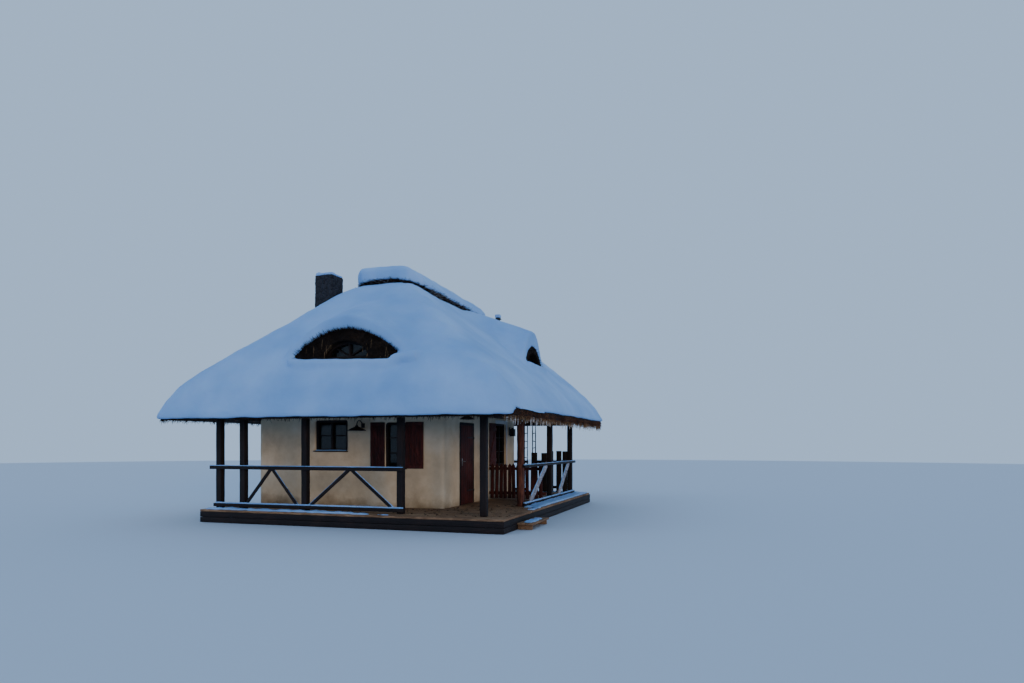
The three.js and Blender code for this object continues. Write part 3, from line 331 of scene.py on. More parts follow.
# %% Rubble masonry
def rubble(name, stone_mm, dark, light, joint):
    """Stones of one typical size in mortar."""
    finish, tree, shader, place = new_material(name, 0.85, 0.3)
    warp = add(tree, "TexNoise", {"Vector": place, "Scale": 6.0, "Detail": 2.0}, out=1)
    bent = add(tree, "Mix", {4: place, 5: warp, 0: 0.06}, out=1, data_type="VECTOR")
    cells = {"Vector": bent, "Scale": 1000 / stone_mm}
    tones = add(tree, "TexVoronoi", cells, out=1)
    edges = add(tree, "TexVoronoi", cells, feature="DISTANCE_TO_EDGE")
    pits = add(tree, "TexNoise", {"Vector": place, "Scale": 35.0, "Detail": 5.0, "Roughness": 0.7})
    mixed = add(tree, "Math", {0: tones, 1: 0.55, 2: pits}, operation="MULTIPLY_ADD")
    tint = add(tree, "ValToRGB", {"Fac": mixed}, stops=[(0.45, dark), (1.0, light)])
    seam = add(tree, "ValToRGB", {"Fac": edges}, stops=[(0.03, "#ffffff"), (0.09, "#000000")])
    stones = add(tree, "Mix", {0: seam, 6: tint, 7: colour(joint)}, out=2, data_type="RGBA")
    bulge = add(tree, "ValToRGB", {"Fac": edges}, stops=[(0.0, "#000000"), (0.2, "#ffffff")])
    relief = add(tree, "Bump", {"Height": bulge, "Strength": 0.8, "Distance": 0.03})
    rough = add(tree, "Bump", {"Height": pits, "Normal": relief, "Strength": 0.5, "Distance": 0.01})
    show(tree, shader, stones, rough)
    return finish


CHIMNEY_STONE = rubble("smoked_rubble", 95, "#0e1015", "#2e3038", "#2a2d35")
FOOTING_STONE = rubble("field_stones", 280, "#3d3a37", "#77716b", "#8d8881")

# %% [markdown]
# Window glass is clear float glass, 4 mm thick, so the rooms behind it show dark. Iron fittings were forged
# and painted black, and the paint has gone dull, with a little rust. The lever of the door is bright where
# hands touch it: worn steel, brushed along its length.

# %% Glass, iron and steel
GLASS, tree, shader, place = new_material("window_glass", 0.03)
shader.inputs["Base Color"].default_value = colour("#3d474f")
shader.inputs["Transmission Weight"].default_value = 0.9
shader.inputs["IOR"].default_value = 1.35
haze = add(tree, "TexNoise", {"Vector": place, "Scale": 3.0, "Detail": 4.0})
fog = add(tree, "ValToRGB", {"Fac": haze}, stops=[(0.45, "#050505"), (0.8, "#202020")])
tree.links.new(fog, shader.inputs["Roughness"])

IRON, tree, shader, place = new_material("black_painted_iron", 0.55)
shader.inputs["Metallic"].default_value = 0.35
rust = add(tree, "TexNoise", {"Vector": place, "Scale": 18.0, "Detail": 6.0, "Roughness": 0.7})
patina = add(tree, "ValToRGB", {"Fac": rust}, stops=[(0.5, "#17181a"), (0.62, "#2c2622"), (0.75, "#5a3826")])
show(tree, shader, patina, add(tree, "Bump", {"Height": rust, "Strength": 0.3, "Distance": 0.003}))

STEEL, tree, shader, place = new_material("hand_worn_steel", 0.32)
shader.inputs["Metallic"].default_value = 1.0
scratches = add(tree, "TexNoise", {"Vector": place, "Scale": 140.0, "Detail": 4.0})
worn = add(tree, "ValToRGB", {"Fac": scratches}, stops=[(0.35, "#6f6c68"), (0.65, "#b9b4ab")])
show(tree, shader, worn, add(tree, "Bump", {"Height": scratches, "Strength": 0.15, "Distance": 0.001}))

# %% [markdown]
# Each solid gets the finish of what it stands for. Long timbers need the grain that runs their own way, and
# the few that turn a corner keep the grain of their longest side.

# %% Finishes on the solids
FINISHES = [
    (REED, ["roof_thatch"]),
    (HEATHER, ["ridge_cap"]),
    (SNOW, ["roof_snow", "ridge_snow"]),
    (PLASTER, [n for n in SOLIDS if n.endswith("_wall") or n.startswith("right_wall_")]),
    (FOOTING_STONE, ["stone_footing"]),
    (CHIMNEY_STONE, ["chimney"]),
    (FLOOR_BOARDS, ["ground_floor", "attic_floor", "veranda_deck", "entrance_step"]),
    (DARK_BOARDS, ["eave_knee_boards", "rear_gable", "rear_parapet"]),
    (TIMBER["Z"], [n for n in SOLIDS if n.startswith("post_") or n.endswith("_frame")]),
    (TIMBER["X"], ["front_railing", "rear_railing", "eave_beam"]),
    (TIMBER["Y"], ["side_railing"]),
    (PAINTED["Z"], ["entrance_door", "gallery_pickets"] + [n for n in SOLIDS if "_shutter" in n]),
    (GLASS, [n for n in SOLIDS if n.endswith("_glass")]),
    (IRON, ["vent_pipe", "front_wall_lamp", "side_wall_lantern", "veranda_lamp"]),
]
for finish, members in FINISHES:
    for member in members:
        slots = SOLIDS[member].material_slots
        if not slots:
            SOLIDS[member].data.materials.append(finish)
        for slot in slots:
            slot.material = finish
left_plain = sorted(set(SOLIDS) - {m for _, members in FINISHES for m in members})
print("solids without a finish:", left_plain)

# %% [markdown]
# Most pieces are modelled with the same few steps, so a few helpers come first. An operator acts on
# everything that is selected, so one helper clears the selection, and one opens edit mode on a single
# piece. One makes a fresh copy of a solid and merges its loose triangles. The others apply modifiers, join
# pieces, and give a piece its finish, its slot and the part of the house that it moves with.

# %% Helpers for pieces
def only(piece):
    """Selects this piece and nothing else."""
    bpy.ops.object.select_all(action="DESELECT")
    piece.select_set(True)
    bpy.context.view_layer.objects.active = piece


@contextmanager
def editing(piece, select="SELECT"):
    """Edit mode on this piece, with all of its mesh selected, or none."""
    only(piece)
    bpy.ops.object.mode_set(mode="EDIT")
    bpy.ops.mesh.select_all(action=select)
    yield
    bpy.ops.object.mode_set(mode="OBJECT")


def settle(piece):
    """Puts the place, turn and size of the object into its mesh."""
    only(piece)
    bpy.ops.object.transform_apply(location=True, rotation=True, scale=True)
    return piece


def twin(piece, name):
    """A copy of a piece with a mesh of its own."""
    other = bpy.data.objects.new(name, piece.data.copy())
    SCENE.collection.objects.link(other)
    return other


def merged_copy(solid_name, name):
    """A copy of a solid with its triangles joined into one skin."""
    piece = twin(SOLIDS[solid_name], name)
    with editing(piece):
        bpy.ops.mesh.remove_doubles(threshold=0.0004)
        bpy.ops.mesh.normals_make_consistent(inside=False)
    piece.data.materials.clear()
    return piece


def apply_modifiers(piece):
    """Turns what the modifiers show into the mesh itself."""
    only(piece)
    for name in [m.name for m in piece.modifiers]:
        bpy.ops.object.modifier_apply(modifier=name)
    return piece


def joined(name, pieces):
    """Joins pieces into one object."""
    only(pieces[0])
    for piece in pieces:
        piece.select_set(True)
    bpy.ops.object.join()
    pieces[0].name = name
    return pieces[0]


def dress(piece, finish, smooth=None, body="cottage", replaces=()):
    """Finish, shading, slot and body of a piece that is done, and the solids that it stands for."""
    settle(piece)
    piece.data.materials.clear()
    piece.data.materials.append(finish)
    if smooth:
        bpy.ops.object.shade_smooth_by_angle(angle=math.radians(smooth))
    if replaces:
        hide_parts(*([replaces] if isinstance(replaces, str) else replaces))
    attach(piece, body)
    return piece


def corners(node):
    """Lowest and highest corner of a solid."""
    return [Vector(corner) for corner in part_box(node)]


# %% [markdown]
# Wind and its own weight round every edge of the snow, and it sags a little between the battens. The solid
# is only a faceted slab, so its copy is swollen by a finger's breadth, rebuilt in small cells and rubbed
# down again, which leaves round edges in the right place. Two cloud patterns then lift and lower it by a
# few centimetres, like drifts. Sculpting a sheet by hand would look the same, but this keeps the snow
# exactly on the thatch.

# %% Snow on the roof
COARSE = 1.0


def keep_inside(piece, low, high):
    """Moves points that stray outside a box back onto its walls."""
    mesh = piece.data
    points = np.empty(len(mesh.vertices) * 3)
    mesh.vertices.foreach_get("co", points)
    inside = np.clip(points.reshape(-1, 3), np.array(low) + 0.001, np.array(high) - 0.001)
    mesh.vertices.foreach_set("co", inside.ravel())
    mesh.update()
    return piece


def displace(piece, pattern, lift):
    """Moves the surface in and out by a cloud pattern, read in place."""
    wave = piece.modifiers.new("wave", "DISPLACE")
    wave.texture = pattern
    wave.texture_coords = "LOCAL"
    wave.strength = lift
    wave.mid_level = 0.5


def clouds(name, size):
    """A cloud pattern with features of this size in metres."""
    pattern = bpy.data.textures.new(name, "CLOUDS")
    pattern.noise_scale = size
    return pattern


def weathered_skin(piece, cell, rubs, waves, thin_to, swell=0):
    """Rebuilds a solid as one skin of small cells, with round edges and an uneven surface."""
    if swell:
        with editing(piece):
            bpy.ops.transform.shrink_fatten(value=swell)
    cells = piece.modifiers.new("cells", "REMESH")
    cells.mode = "VOXEL"
    cells.voxel_size = cell * COARSE
    rub = piece.modifiers.new("rub", "SMOOTH")
    rub.factor = 0.5
    rub.iterations = rubs
    for size, lift in waves:
        displace(piece, clouds(f"waves_{size}", size), lift)
    thin = piece.modifiers.new("thin", "DECIMATE")
    thin.ratio = thin_to
    apply_modifiers(piece)
    return keep_inside(piece, *CAD_BOX)


def bank(name, start, end, width, height):
    """A bank of snow between two points, as a plain block that the cells will round."""
    start, end = Vector(start), Vector(end)
    run = end - start
    bpy.ops.mesh.primitive_cube_add(size=1, location=(start + end) / 2)
    piece = bpy.context.object
    piece.name = name
    piece.rotation_euler = (0, -math.atan2(run.z, math.hypot(run.x, run.y)), math.atan2(run.y, run.x))
    piece.scale = (run.length, width, height)
    return settle(piece)


roof_parts = [
    merged_copy("roof_snow", "roof_drifts"),
    bank("front_bank", (-1.0, -4.03, 3.62), (1.6, -4.03, 3.52), 0.22, 0.12),
    bank("end_bank", (1.55, -4.03, 3.6), (2.1, -4.03, 3.68), 0.22, 0.14),
    bank("side_bank", (3.12, 0.5, 3.93), (3.12, 2.05, 3.93), 0.2, 0.12),
]
roof_drifts = joined("roof_drifts", roof_parts)
weathered_skin(roof_drifts, 0.048, 6, [(1.1, 0.05), (0.3, 0.022)], 0.55, swell=0.028)
dress(roof_drifts, SNOW, 180, replaces="roof_snow")
ridge_drifts = merged_copy("ridge_snow", "ridge_drifts")
weathered_skin(ridge_drifts, 0.036, 9, [(0.8, 0.05), (0.25, 0.02)], 0.8, swell=0.03)
dress(ridge_drifts, SNOW, 180, replaces="ridge_snow")
print("faces of the snow:", len(roof_drifts.data.polygons), len(ridge_drifts.data.polygons))

# %% [markdown]
# Lime plaster over rough masonry has no sharp edge anywhere. The six wall solids meet in butt joints that
# aren't there on the real house, so their copies are joined, rebuilt in cells of 30 mm as one skin, rubbed
# round and made uneven. The chimney is treated the same way with smaller cells, because its courses stick
# out more.

# %% Plastered walls and chimney
WALL_NODES = [n for n in SOLIDS if n.endswith("_wall") or n.startswith("right_wall_")]
walls = joined("plaster_walls", [merged_copy(n, n + "_plaster") for n in WALL_NODES])
weathered_skin(walls, 0.03, 2, [(0.4, 0.012), (0.12, 0.004)], 0.3)
dress(walls, PLASTER, 180, replaces=WALL_NODES)
stack = weathered_skin(merged_copy("chimney", "masonry_stack"), 0.022, 2, [(0.14, 0.03), (0.05, 0.012)], 0.5)
dress(stack, CHIMNEY_STONE, 60, replaces="chimney")
print("faces of walls and chimney:", len(walls.data.polygons), len(stack.data.polygons))

# %% [markdown]
# A cut thatch ends in thousands of stalk tips, and a few stand proud, so its edges look brushy. One tip is
# modelled as a thin three-sided spike, then repeated on the upright faces of the reed: round the eave, on
# the faces of the dormers and round the ridge cap. A hair system would be heavier and doesn't belong to a
# solid model.

# %% One reed tip
bpy.ops.mesh.primitive_cone_add(vertices=3, radius1=1.0, radius2=0.35, depth=1.0, location=(0, 0, 0.5))
tip = settle(bpy.context.object)
with editing(tip):
    bpy.ops.mesh.quads_convert_to_tris()
SUNK = 0.015  # a tip starts this far inside the reed
TIP_POINTS = np.array([v.co[:] for v in tip.data.vertices])
TIP_FACES = np.array([p.vertices[:] for p in tip.data.polygons])
bpy.data.objects.remove(tip)
print("one tip has", len(TIP_FACES), "faces")


# %% [markdown]
# Each tip needs a root, a direction, a length and a thickness. Roots are spread evenly by area over the
# faces that pass a test, such as facing forward at the dormer. The seed is fixed, so that every run gives
# the same thatch.

# %% Tips on faces
def roots_on(solid_name, test, per_square_metre, seed):
    """Random points, with their normals, on the faces of a solid that pass the test."""
    dice = np.random.default_rng(seed)
    mesh = SOLIDS[solid_name].data
    points = np.array([v.co[:] for v in mesh.vertices])
    found = []
    for face in mesh.polygons:
        if test(face.normal, face.center):
            a, b, c = points[list(face.vertices[:3])]
            count = face.area * per_square_metre
            count = int(count) + (dice.random() < count % 1)
            for _ in range(count):
                u, v = sorted(dice.random(2))
                found.append((a * u + b * (v - u) + c * (1 - v), np.array(face.normal)))
    return found


def brush(name, roots, length, thickness, droop, spread, seed, finish):
    """One mesh of tips: each leans out along its face, down by droop, and sideways at random."""
    dice = np.random.default_rng(seed)
    points, faces = [], []
    for i, (root, normal) in enumerate(roots):
        lean = normal * (1 - droop) + np.array([0, 0, -droop]) + dice.normal(0, spread, 3)
        lean /= np.linalg.norm(lean)
        side = np.cross(lean, [0.3, 0.5, 0.8])
        side /= np.linalg.norm(side)
        across = np.cross(lean, side)
        reach = dice.uniform(*length)
        wide = dice.uniform(*thickness)
        start = root - normal * SUNK
        shaped = start + TIP_POINTS[:, :1] * wide * side + TIP_POINTS[:, 1:2] * wide * across
        points.append(shaped + TIP_POINTS[:, 2:] * (reach + SUNK) * lean)
        faces.append(TIP_FACES + i * len(TIP_POINTS))
    mesh = bpy.data.meshes.new(name)
    mesh.from_pydata(np.concatenate(points).tolist(), [], np.concatenate(faces).tolist())
    piece = bpy.data.objects.new(name, mesh)
    SCENE.collection.objects.link(piece)
    keep_inside(piece, *CAD_BOX)
    with editing(piece):
        bpy.ops.mesh.normals_make_consistent(inside=False)
    print(name, len(roots), "tips,", len(mesh.polygons), "faces")
    dress(piece, finish)


# %% [markdown]
# At the eave only the lowest stalks show below the snow, as a dark jagged fringe. The faces round the two
# dormers show from edge to edge. The ridge has a coat of heather, whose tips stick out further and hold the
# frost.

# %% Brushy edges of the reed
EAVE_REACH = [0.94 * abs(v) for v in (CAD_BOX[1][0], CAD_BOX[0][1])]
DORMER_MIDDLE = 0.345


def at_eave(normal, centre):
    outside = abs(centre.x) > EAVE_REACH[0] or abs(centre.y) > EAVE_REACH[1]
    return centre.z < 2.56 and abs(normal.z) < 0.3 and outside


def at_front_dormer(normal, centre):
    return normal.y < -0.95 and centre.y > -4.1 and centre.z > 3.4


def at_side_dormer(normal, centre):
    return normal.x > 0.95 and centre.x < 3.2 and centre.z > 3.6


def at_cap_edge(normal, centre):
    return abs(normal.z) < 0.2 and centre.z > 5.3


thin = (0.003, 0.006)
short, fine = (0.02, 0.1), (0.004, 0.008)
eave_edge = roots_on("roof_thatch", at_eave, 1300, 1)
eave_roots = [pair for pair in eave_edge if pair[0][2] < 2.47]
side_roots = [pair for pair in eave_edge if pair[0][0] > EAVE_REACH[0]]
other_roots = [pair for pair in eave_roots if pair[0][0] <= EAVE_REACH[0]]
front_roots = roots_on("roof_thatch", at_front_dormer, 1700, 2)
side_dormer_roots = roots_on("roof_thatch", at_side_dormer, 1300, 3)
cap_roots = roots_on("ridge_cap", at_cap_edge, 1000, 4)
# the right eave's tips use the reed copy with painted warm light
brush("side_eave_tips", side_roots, short, fine, 0.7, 0.2, 10, WARM_LIT_REED)
brush("eave_tips", other_roots, short, fine, 0.7, 0.2, 11, REED)
brush("front_dormer_tips", front_roots, (0.02, 0.09), thin, 0.25, 0.25, 12, REED)
brush("side_dormer_tips", side_dormer_roots, (0.02, 0.08), thin, 0.25, 0.25, 13, REED)
brush("ridge_tips", cap_roots, (0.05, 0.13), (0.005, 0.011), 0.1, 0.34, 14, HEATHER)

# %% [markdown]
# Some stalks are paler: straw that hangs loose on both sides of the dormer windows and along the right
# eave, and tips on the ridge that are white with frost. Along the right eave the pale straw also carries
# painted warm light that falls on the reed ends there. They use the same brush, with longer and fewer
# tips. Along the rim of the front dormer the stalks fan out past the snow, so their roots are those nearest
# to the rim.

# %% Pale straw, frosted tips and the dormer's fan
def some(roots, share, seed, test=lambda root: True):
    """A random share of the roots that pass a test."""
    dice = np.random.default_rng(seed)
    return [pair for pair in roots if dice.random() < share and test(pair[0])]


front_face = roots_on("roof_thatch", at_front_dormer, 160, 5)
flanks = some(front_face, 0.4, 6, lambda root: abs(root[0] - DORMER_MIDDLE) > 0.35)
brush("front_dormer_straw", flanks, (0.12, 0.28), (0.005, 0.009), 0.93, 0.07, 15, STRAW)
COLUMN = 0.08  # the rim's height is read in strips this wide
rim_height = {}
rim_roots = roots_on("roof_thatch", at_front_dormer, 2400, 21)
for root, _ in rim_roots:
    column = round(root[0] / COLUMN)
    rim_height[column] = max(rim_height.get(column, 0), root[2])
fan = []
for root, _ in rim_roots:
    if root[2] > max(3.76, rim_height[round(root[0] / COLUMN)] - 0.06):
        fan.append((root, np.array([0.4 * (root[0] - DORMER_MIDDLE), -0.7, 0.6])))
brush("front_dormer_fringe", fan, (0.05, 0.13), (0.004, 0.009), 0.0, 0.2, 22, HEATHER)
# partly painted light: pale straw along the right eave also stands for warm light on the reed ends
right_eave = some(eave_roots, 0.6, 7, lambda root: root[0] > EAVE_REACH[0] and root[2] < 2.44)
brush("right_eave_lit_straw", right_eave, (0.06, 0.16), (0.006, 0.011), 0.9, 0.12, 16, STRAW)
frosted = some(cap_roots, 0.45, 8, lambda root: root[1] > -1.3)
frosted += some(cap_roots, 0.4, 9, lambda root: root[1] <= -1.3)
brush("frosted_ridge_tips", frosted, (0.06, 0.14), (0.006, 0.012), 0.15, 0.36, 17, FROSTED)

# %% [markdown]
# Meltwater ran down the snow and froze at the right eave, where the veranda warms it, and over the front
# dormer. An icicle is a spike like a reed tip, only thicker and straight down, so the brush makes these
# too.

# %% Icicles
drips = some(eave_roots, 0.3, 10, lambda root: root[0] > EAVE_REACH[0] and root[2] < 2.4)
brush("right_eave_icicles", drips, (0.06, 0.2), (0.008, 0.014), 0.999, 0.01, 18, ICE)
arch_drips = some(front_face, 0.1, 11, lambda root: root[2] > 3.85)
brush("dormer_icicles", arch_drips, (0.08, 0.17), (0.007, 0.011), 0.995, 0.01, 19, ICE)

# %% [markdown]
# Nearly all the woodwork is straight bars: posts, rails, boards and braces. Their real arrises are worn and
# their faces uneven, and sharp straight boxes would give them away. One helper models a bar lying along X
# from a cube: it bevels the arrises and cuts the length into short stretches, then turns the bar to its
# place, and a cloud pattern moves the surface by some millimetres. The pattern is read in place, so no two
# bars are alike.

# %% A hewn bar
UNEVEN = clouds("hand_hewn", 0.22)
ALONG_X, ALONG_Y, ALONG_Z = (1, 0, 0), (0, 1, 0), (0, 0, 1)


def cut_across(length, pieces):
    """Cuts a mesh that lies along X into this many stretches, in edit mode."""
    for i in range(1, pieces):
        bpy.ops.mesh.select_all(action="SELECT")
        bpy.ops.mesh.bisect(plane_co=(length * (i / pieces - 0.5), 0, 0), plane_no=ALONG_X)


def place_along(piece, start, end, facing, rough):
    """Puts a piece modelled along X between two points, with its top turned to facing, and roughens it."""
    run = (end - start).normalized()
    side = facing.cross(run).normalized()
    turn = Matrix((run, side, run.cross(side))).transposed().to_4x4()
    piece.matrix_world = Matrix.Translation((start + end) / 2) @ turn
    settle(piece)
    if rough:
        displace(piece, UNEVEN, rough)
    return apply_modifiers(piece)


def bar(name, start, end, width, depth, facing=ALONG_Z, arris=0.006, rough=0.004, stretch=0.3):
    """A timber from start to end. Depth is measured along facing, width across it."""
    start, end, facing = Vector(start), Vector(end), Vector(facing)
    length = (end - start).length
    bpy.ops.mesh.primitive_cube_add(size=1)
    piece = bpy.context.object
    piece.name = name
    piece.scale = (length, width, depth)
    settle(piece)
    with editing(piece):
        bpy.ops.mesh.bevel(offset=arris, segments=2, affect="EDGES")
        cut_across(length, max(1, round(length / stretch)))
    return place_along(piece, start, end, facing, rough)


def log(name, start, end, radius, rim=0.012, rough=0.012):
    """A round pole from start to end, with rounded rims and a lively surface."""
    start, end = Vector(start), Vector(end)
    length = (end - start).length
    turned = (0, math.radians(90), 0)
    bpy.ops.mesh.primitive_cylinder_add(vertices=20, radius=radius, depth=length, rotation=turned)
    piece = bpy.context.object
    piece.name = name
    settle(piece)
    with editing(piece, "DESELECT"):
        shell = bmesh.from_edit_mesh(piece.data)
        for edge in shell.edges:
            edge.select = abs(edge.verts[0].co.x - edge.verts[1].co.x) < 1e-5
        bmesh.update_edit_mesh(piece.data)
        bpy.ops.mesh.bevel(offset=rim, segments=2, affect="EDGES")
        cut_across(length, max(2, round(length / 0.1)))
    stands = abs((end - start).z) > 0.7 * length
    return place_along(piece, start, end, Vector(ALONG_X if stands else ALONG_Z), rough)


def bars(name, rows, facing=ALONG_Z, **shape):
    """One bar for each row of start, end, width and depth."""
    return [bar(f"{name}_{i}", *row, facing, **shape) for i, row in enumerate(rows)]


# %% [markdown]
# The posts are square trunks trimmed with an axe, 150 mm thick. The second one on the right side kept its
# bark and is round, with knots. The two slim uprights at the rear are little trellises: each is a pair of
# stakes with rungs nailed between them, a touch out of level. Each post stands where its solid stands, so
# its ends come from the solid's box.

# %% Posts
RUNGS = [0.62, 1.01, 1.4, 1.69, 1.92, 2.15]


def post_ends(node):
    low, high = corners(node)
    middle = (low + high) / 2
    return Vector((middle.x, middle.y, low.z)), Vector((middle.x, middle.y, high.z)), high.x - low.x


def stake_ladder(name, foot, head):
    """Two peeled stakes side by side, with short rungs nailed between them."""
    out = Vector((0.048, 0, 0))
    sticks = [log(f"{name}_stake", foot + side, head + side, 0.015, 0.003) for side in (-out, out)]
    for i, z in enumerate(RUNGS):
        level = Vector((0, 0, z - foot.z))
        tilt = Vector((0, 0, 0.02 if i % 2 else -0.02))
        ends = foot - out + level, foot + out + level + tilt
        sticks.append(log(f"{name}_rung_{i}", *ends, 0.011, 0.002, rough=0.008))
    return joined(name, sticks)


for node in [n for n in SOLIDS if n.startswith("post_")]:
    foot, head, thick = post_ends(node)
    name = node.replace("post_", "trunk_")
    if node == "post_side_2":
        dress(log(name, foot, head, 0.088, rough=0.03), LOG, 40, replaces=node)
    elif "slim" in node:
        dress(stake_ladder(name, foot, head), TIMBER["Z"], 40, replaces=node)
    else:
        thick -= 0.006
        trunk = bar(name, foot, head, thick, thick, ALONG_Y, arris=0.016, rough=0.01, stretch=0.18)
        dress(trunk, TIMBER["Z"], 30, replaces=node)

# %% [markdown]
# The railings are planks nailed to the posts: a top rail, a foot rail and slanting braces between them.
# Each solid railing is replaced plank by plank, because a plank needs its own worn arrises and its own
# grain. The planks lie in one upright plane, so a helper takes their ends as distance along the railing and
# height.

# %% Railings
def spot(along, a, across, z):
    """A point from its distance along X, where along is 0, or along Y, and its distance across that."""
    return (across, a, z) if along else (a, across, z)


FACING = [ALONG_Y, ALONG_X]  # out of a front wall, and out of a side wall


def planks(node, along, rows):
    """Planks of a railing, from their ends and widths. The first two are its rails."""
    low, high = corners(node)
    middle = (low[1 - along] + high[1 - along]) / 2
    thick = high[1 - along] - low[1 - along]
    made = []
    for i, (start, end, width) in enumerate(rows):
        ends = [spot(along, a, middle, z) for a, z in (start, end)]
        depth = thick * (0.94 if i < 2 else 0.8)
        made.append(bar(f"{node}_plank_{i}", *ends, width, depth, FACING[along], rough=0.007))
    return made


front_low, front_high = corners("front_railing")
front_rows = [
    ((front_low.x, 1.26), (front_high.x, 1.26), 0.078),
    ((front_low.x + 0.11, 0.385), (front_high.x, 0.385), 0.078),
    ((-0.74, 0.365), (0.36, 1.27), 0.07),
    ((1.45, 0.365), (0.35, 1.27), 0.07),
    ((-2.44, 0.365), (-1.69, 1.27), 0.07),
    ((-0.96, 0.365), (-1.70, 1.27), 0.07),
]
side_low, side_high = corners("side_railing")
side_rows = [
    ((side_low.y, 1.27), (side_high.y, 1.27), 0.058),
    ((side_low.y, 0.353), (side_high.y - 0.15, 0.353), 0.068),
    ((-0.731, 0.393), (0.79, 1.27), 0.16),
    ((2.105, 0.393), (3.32, 1.27), 0.16),
]
rear_low, rear_high = corners("rear_railing")
rear_rows = [
    ((rear_low.x, 1.26), (rear_high.x, 1.26), 0.078),
    ((rear_low.x, 0.385), (rear_high.x, 0.385), 0.078),
    ((-1.85, 0.35), (-1.85, 1.29), 0.098),
    ((0.75, 0.35), (0.75, 1.29), 0.098),
]
front_planks = joined("front_rails", planks("front_railing", 0, front_rows))
dress(front_planks, TIMBER["X"], 30, replaces="front_railing")
side_planks = planks("side_railing", 1, side_rows)
dress(joined("side_rails", side_planks[:2]), TIMBER["Y"], 30, replaces="side_railing")
dress(joined("side_braces", side_planks[2:]), FROSTED_PLANK, 30)
rear_planks = joined("rear_rails", planks("rear_railing", 0, rear_rows))
dress(rear_planks, TIMBER["X"], 30, replaces="rear_railing")
print("planks:", len(front_rows) + len(side_rows) + len(rear_rows))

# %% [markdown]
# The beams on the posts carry the eave. They are hewn like the posts. Behind the edge of the thatch, poles
# as thick as an arm run up under the reed and rest on the beam: the rafters. They are seen from the veranda
# only as dark shapes, yet without them the reed would seem to float.

# %% Beams and rafters
beam_low, beam_high = corners("eave_beam")
HALF = 0.07
height = beam_high.z - beam_low.z
level = (beam_low.z + beam_high.z) / 2
left, right = beam_low.x + HALF, beam_high.x - HALF
front, rear = beam_low.y + HALF, beam_high.y - HALF
WALL_FRONT, WALL_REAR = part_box("front_wall")[0][1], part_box("rear_wall")[1][1]
beam_runs = [
    ((left - HALF, front), (right + HALF, front)),
    ((left - HALF, rear), (right + HALF, rear)),
    ((right, front + HALF), (right, rear - HALF)),
    ((left, front + HALF), (left, WALL_FRONT)),
    ((left, WALL_REAR), (left, rear - HALF)),
]
beam_rows = [((*a, level), (*b, level), 2 * HALF - 0.006, height - 0.006) for a, b in beam_runs]
beams = bars("plate", beam_rows, rough=0.01, arris=0.012)
dress(joined("plates", beams), TIMBER["X"], 30, replaces="eave_beam")

RAFTER_INSET = (0.2, 0.74)  # from the edge of the reed
RAFTER_RISE = (2.45, 2.7378)
RAFTER_PITCH = 0.74
rafters = []
for i in range(11):
    for side in (1, -1):
        y = -3.55 + RAFTER_PITCH * i
        rafters.append([(side * (4.34 - inset), y, z) for inset, z in zip(RAFTER_INSET, RAFTER_RISE)])
for i in range(10):
    x = -3.3 + RAFTER_PITCH * i
    rafters.append([(x, inset - 4.515, z) for inset, z in zip(RAFTER_INSET, RAFTER_RISE)])
poles = [log(f"rafter_{i}", *ends, 0.045, 0.006, rough=0.014) for i, ends in enumerate(rafters)]
dress(joined("rafters", poles), LOG, 40)
print("beams:", len(beams), "rafters:", len(rafters))

# %% [markdown]
# The veranda floor is laid with sawn boards 140 mm wide and 6 mm apart, square to the side wall. One board
# is modelled, with worn arrises, and copied. Each copy gets its own length, because the house stands in the
# way of most of them, and rests a millimetre higher or lower than its neighbour.

# %% Deck boards
DECK_LOW, DECK_HIGH = corners("veranda_deck")
BOARD, JOINT, BOARD_THICK = 0.14, 0.006, 0.045
HOUSE_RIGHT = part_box("right_wall_after_door")[1][0]
model_board = bar("board", (-0.5, 0, 0), (0.5, 0, 0), BOARD, BOARD_THICK, arris=0.004, rough=0, stretch=0.2)
dice = random.Random(21)


def board_copy(start_x, end_x, y):
    """A copy of the model board between two places, with its top a touch off level."""
    piece = twin(model_board, "deck_board")
    piece.scale = (end_x - start_x, 1, 1)
    sunk = dice.uniform(-0.0015, 0)
    piece.location = ((start_x + end_x) / 2, y, DECK_HIGH.z - BOARD_THICK / 2 + sunk)
    return piece


deck_boards = []
y = DECK_LOW.y + BOARD / 2
while y < DECK_HIGH.y - BOARD / 2:
    beside_house = WALL_FRONT < y < WALL_REAR
    start_x = HOUSE_RIGHT + 0.004 if beside_house else DECK_LOW.x
    end_x = DECK_HIGH.x - dice.uniform(0, 0.012)
    butt = (start_x + end_x) / 2 + dice.uniform(-0.6, 0.6)
    if beside_house:
        deck_boards.append(board_copy(start_x, end_x, y))
    else:
        deck_boards.append(board_copy(start_x, butt - 0.002, y))
        deck_boards.append(board_copy(butt + 0.002, end_x, y))
    y += BOARD + JOINT
bpy.data.objects.remove(model_board)
dress(joined("deck_boards", deck_boards), DECKING["X"], 30, replaces="veranda_deck")
print("deck boards:", len(deck_boards))

# %% [markdown]
# The edge of the deck is closed by two rows of fascia planks, and joists below carry the boards and are
# seen between them. The entrance step is made like the deck: two treads on two stringers.

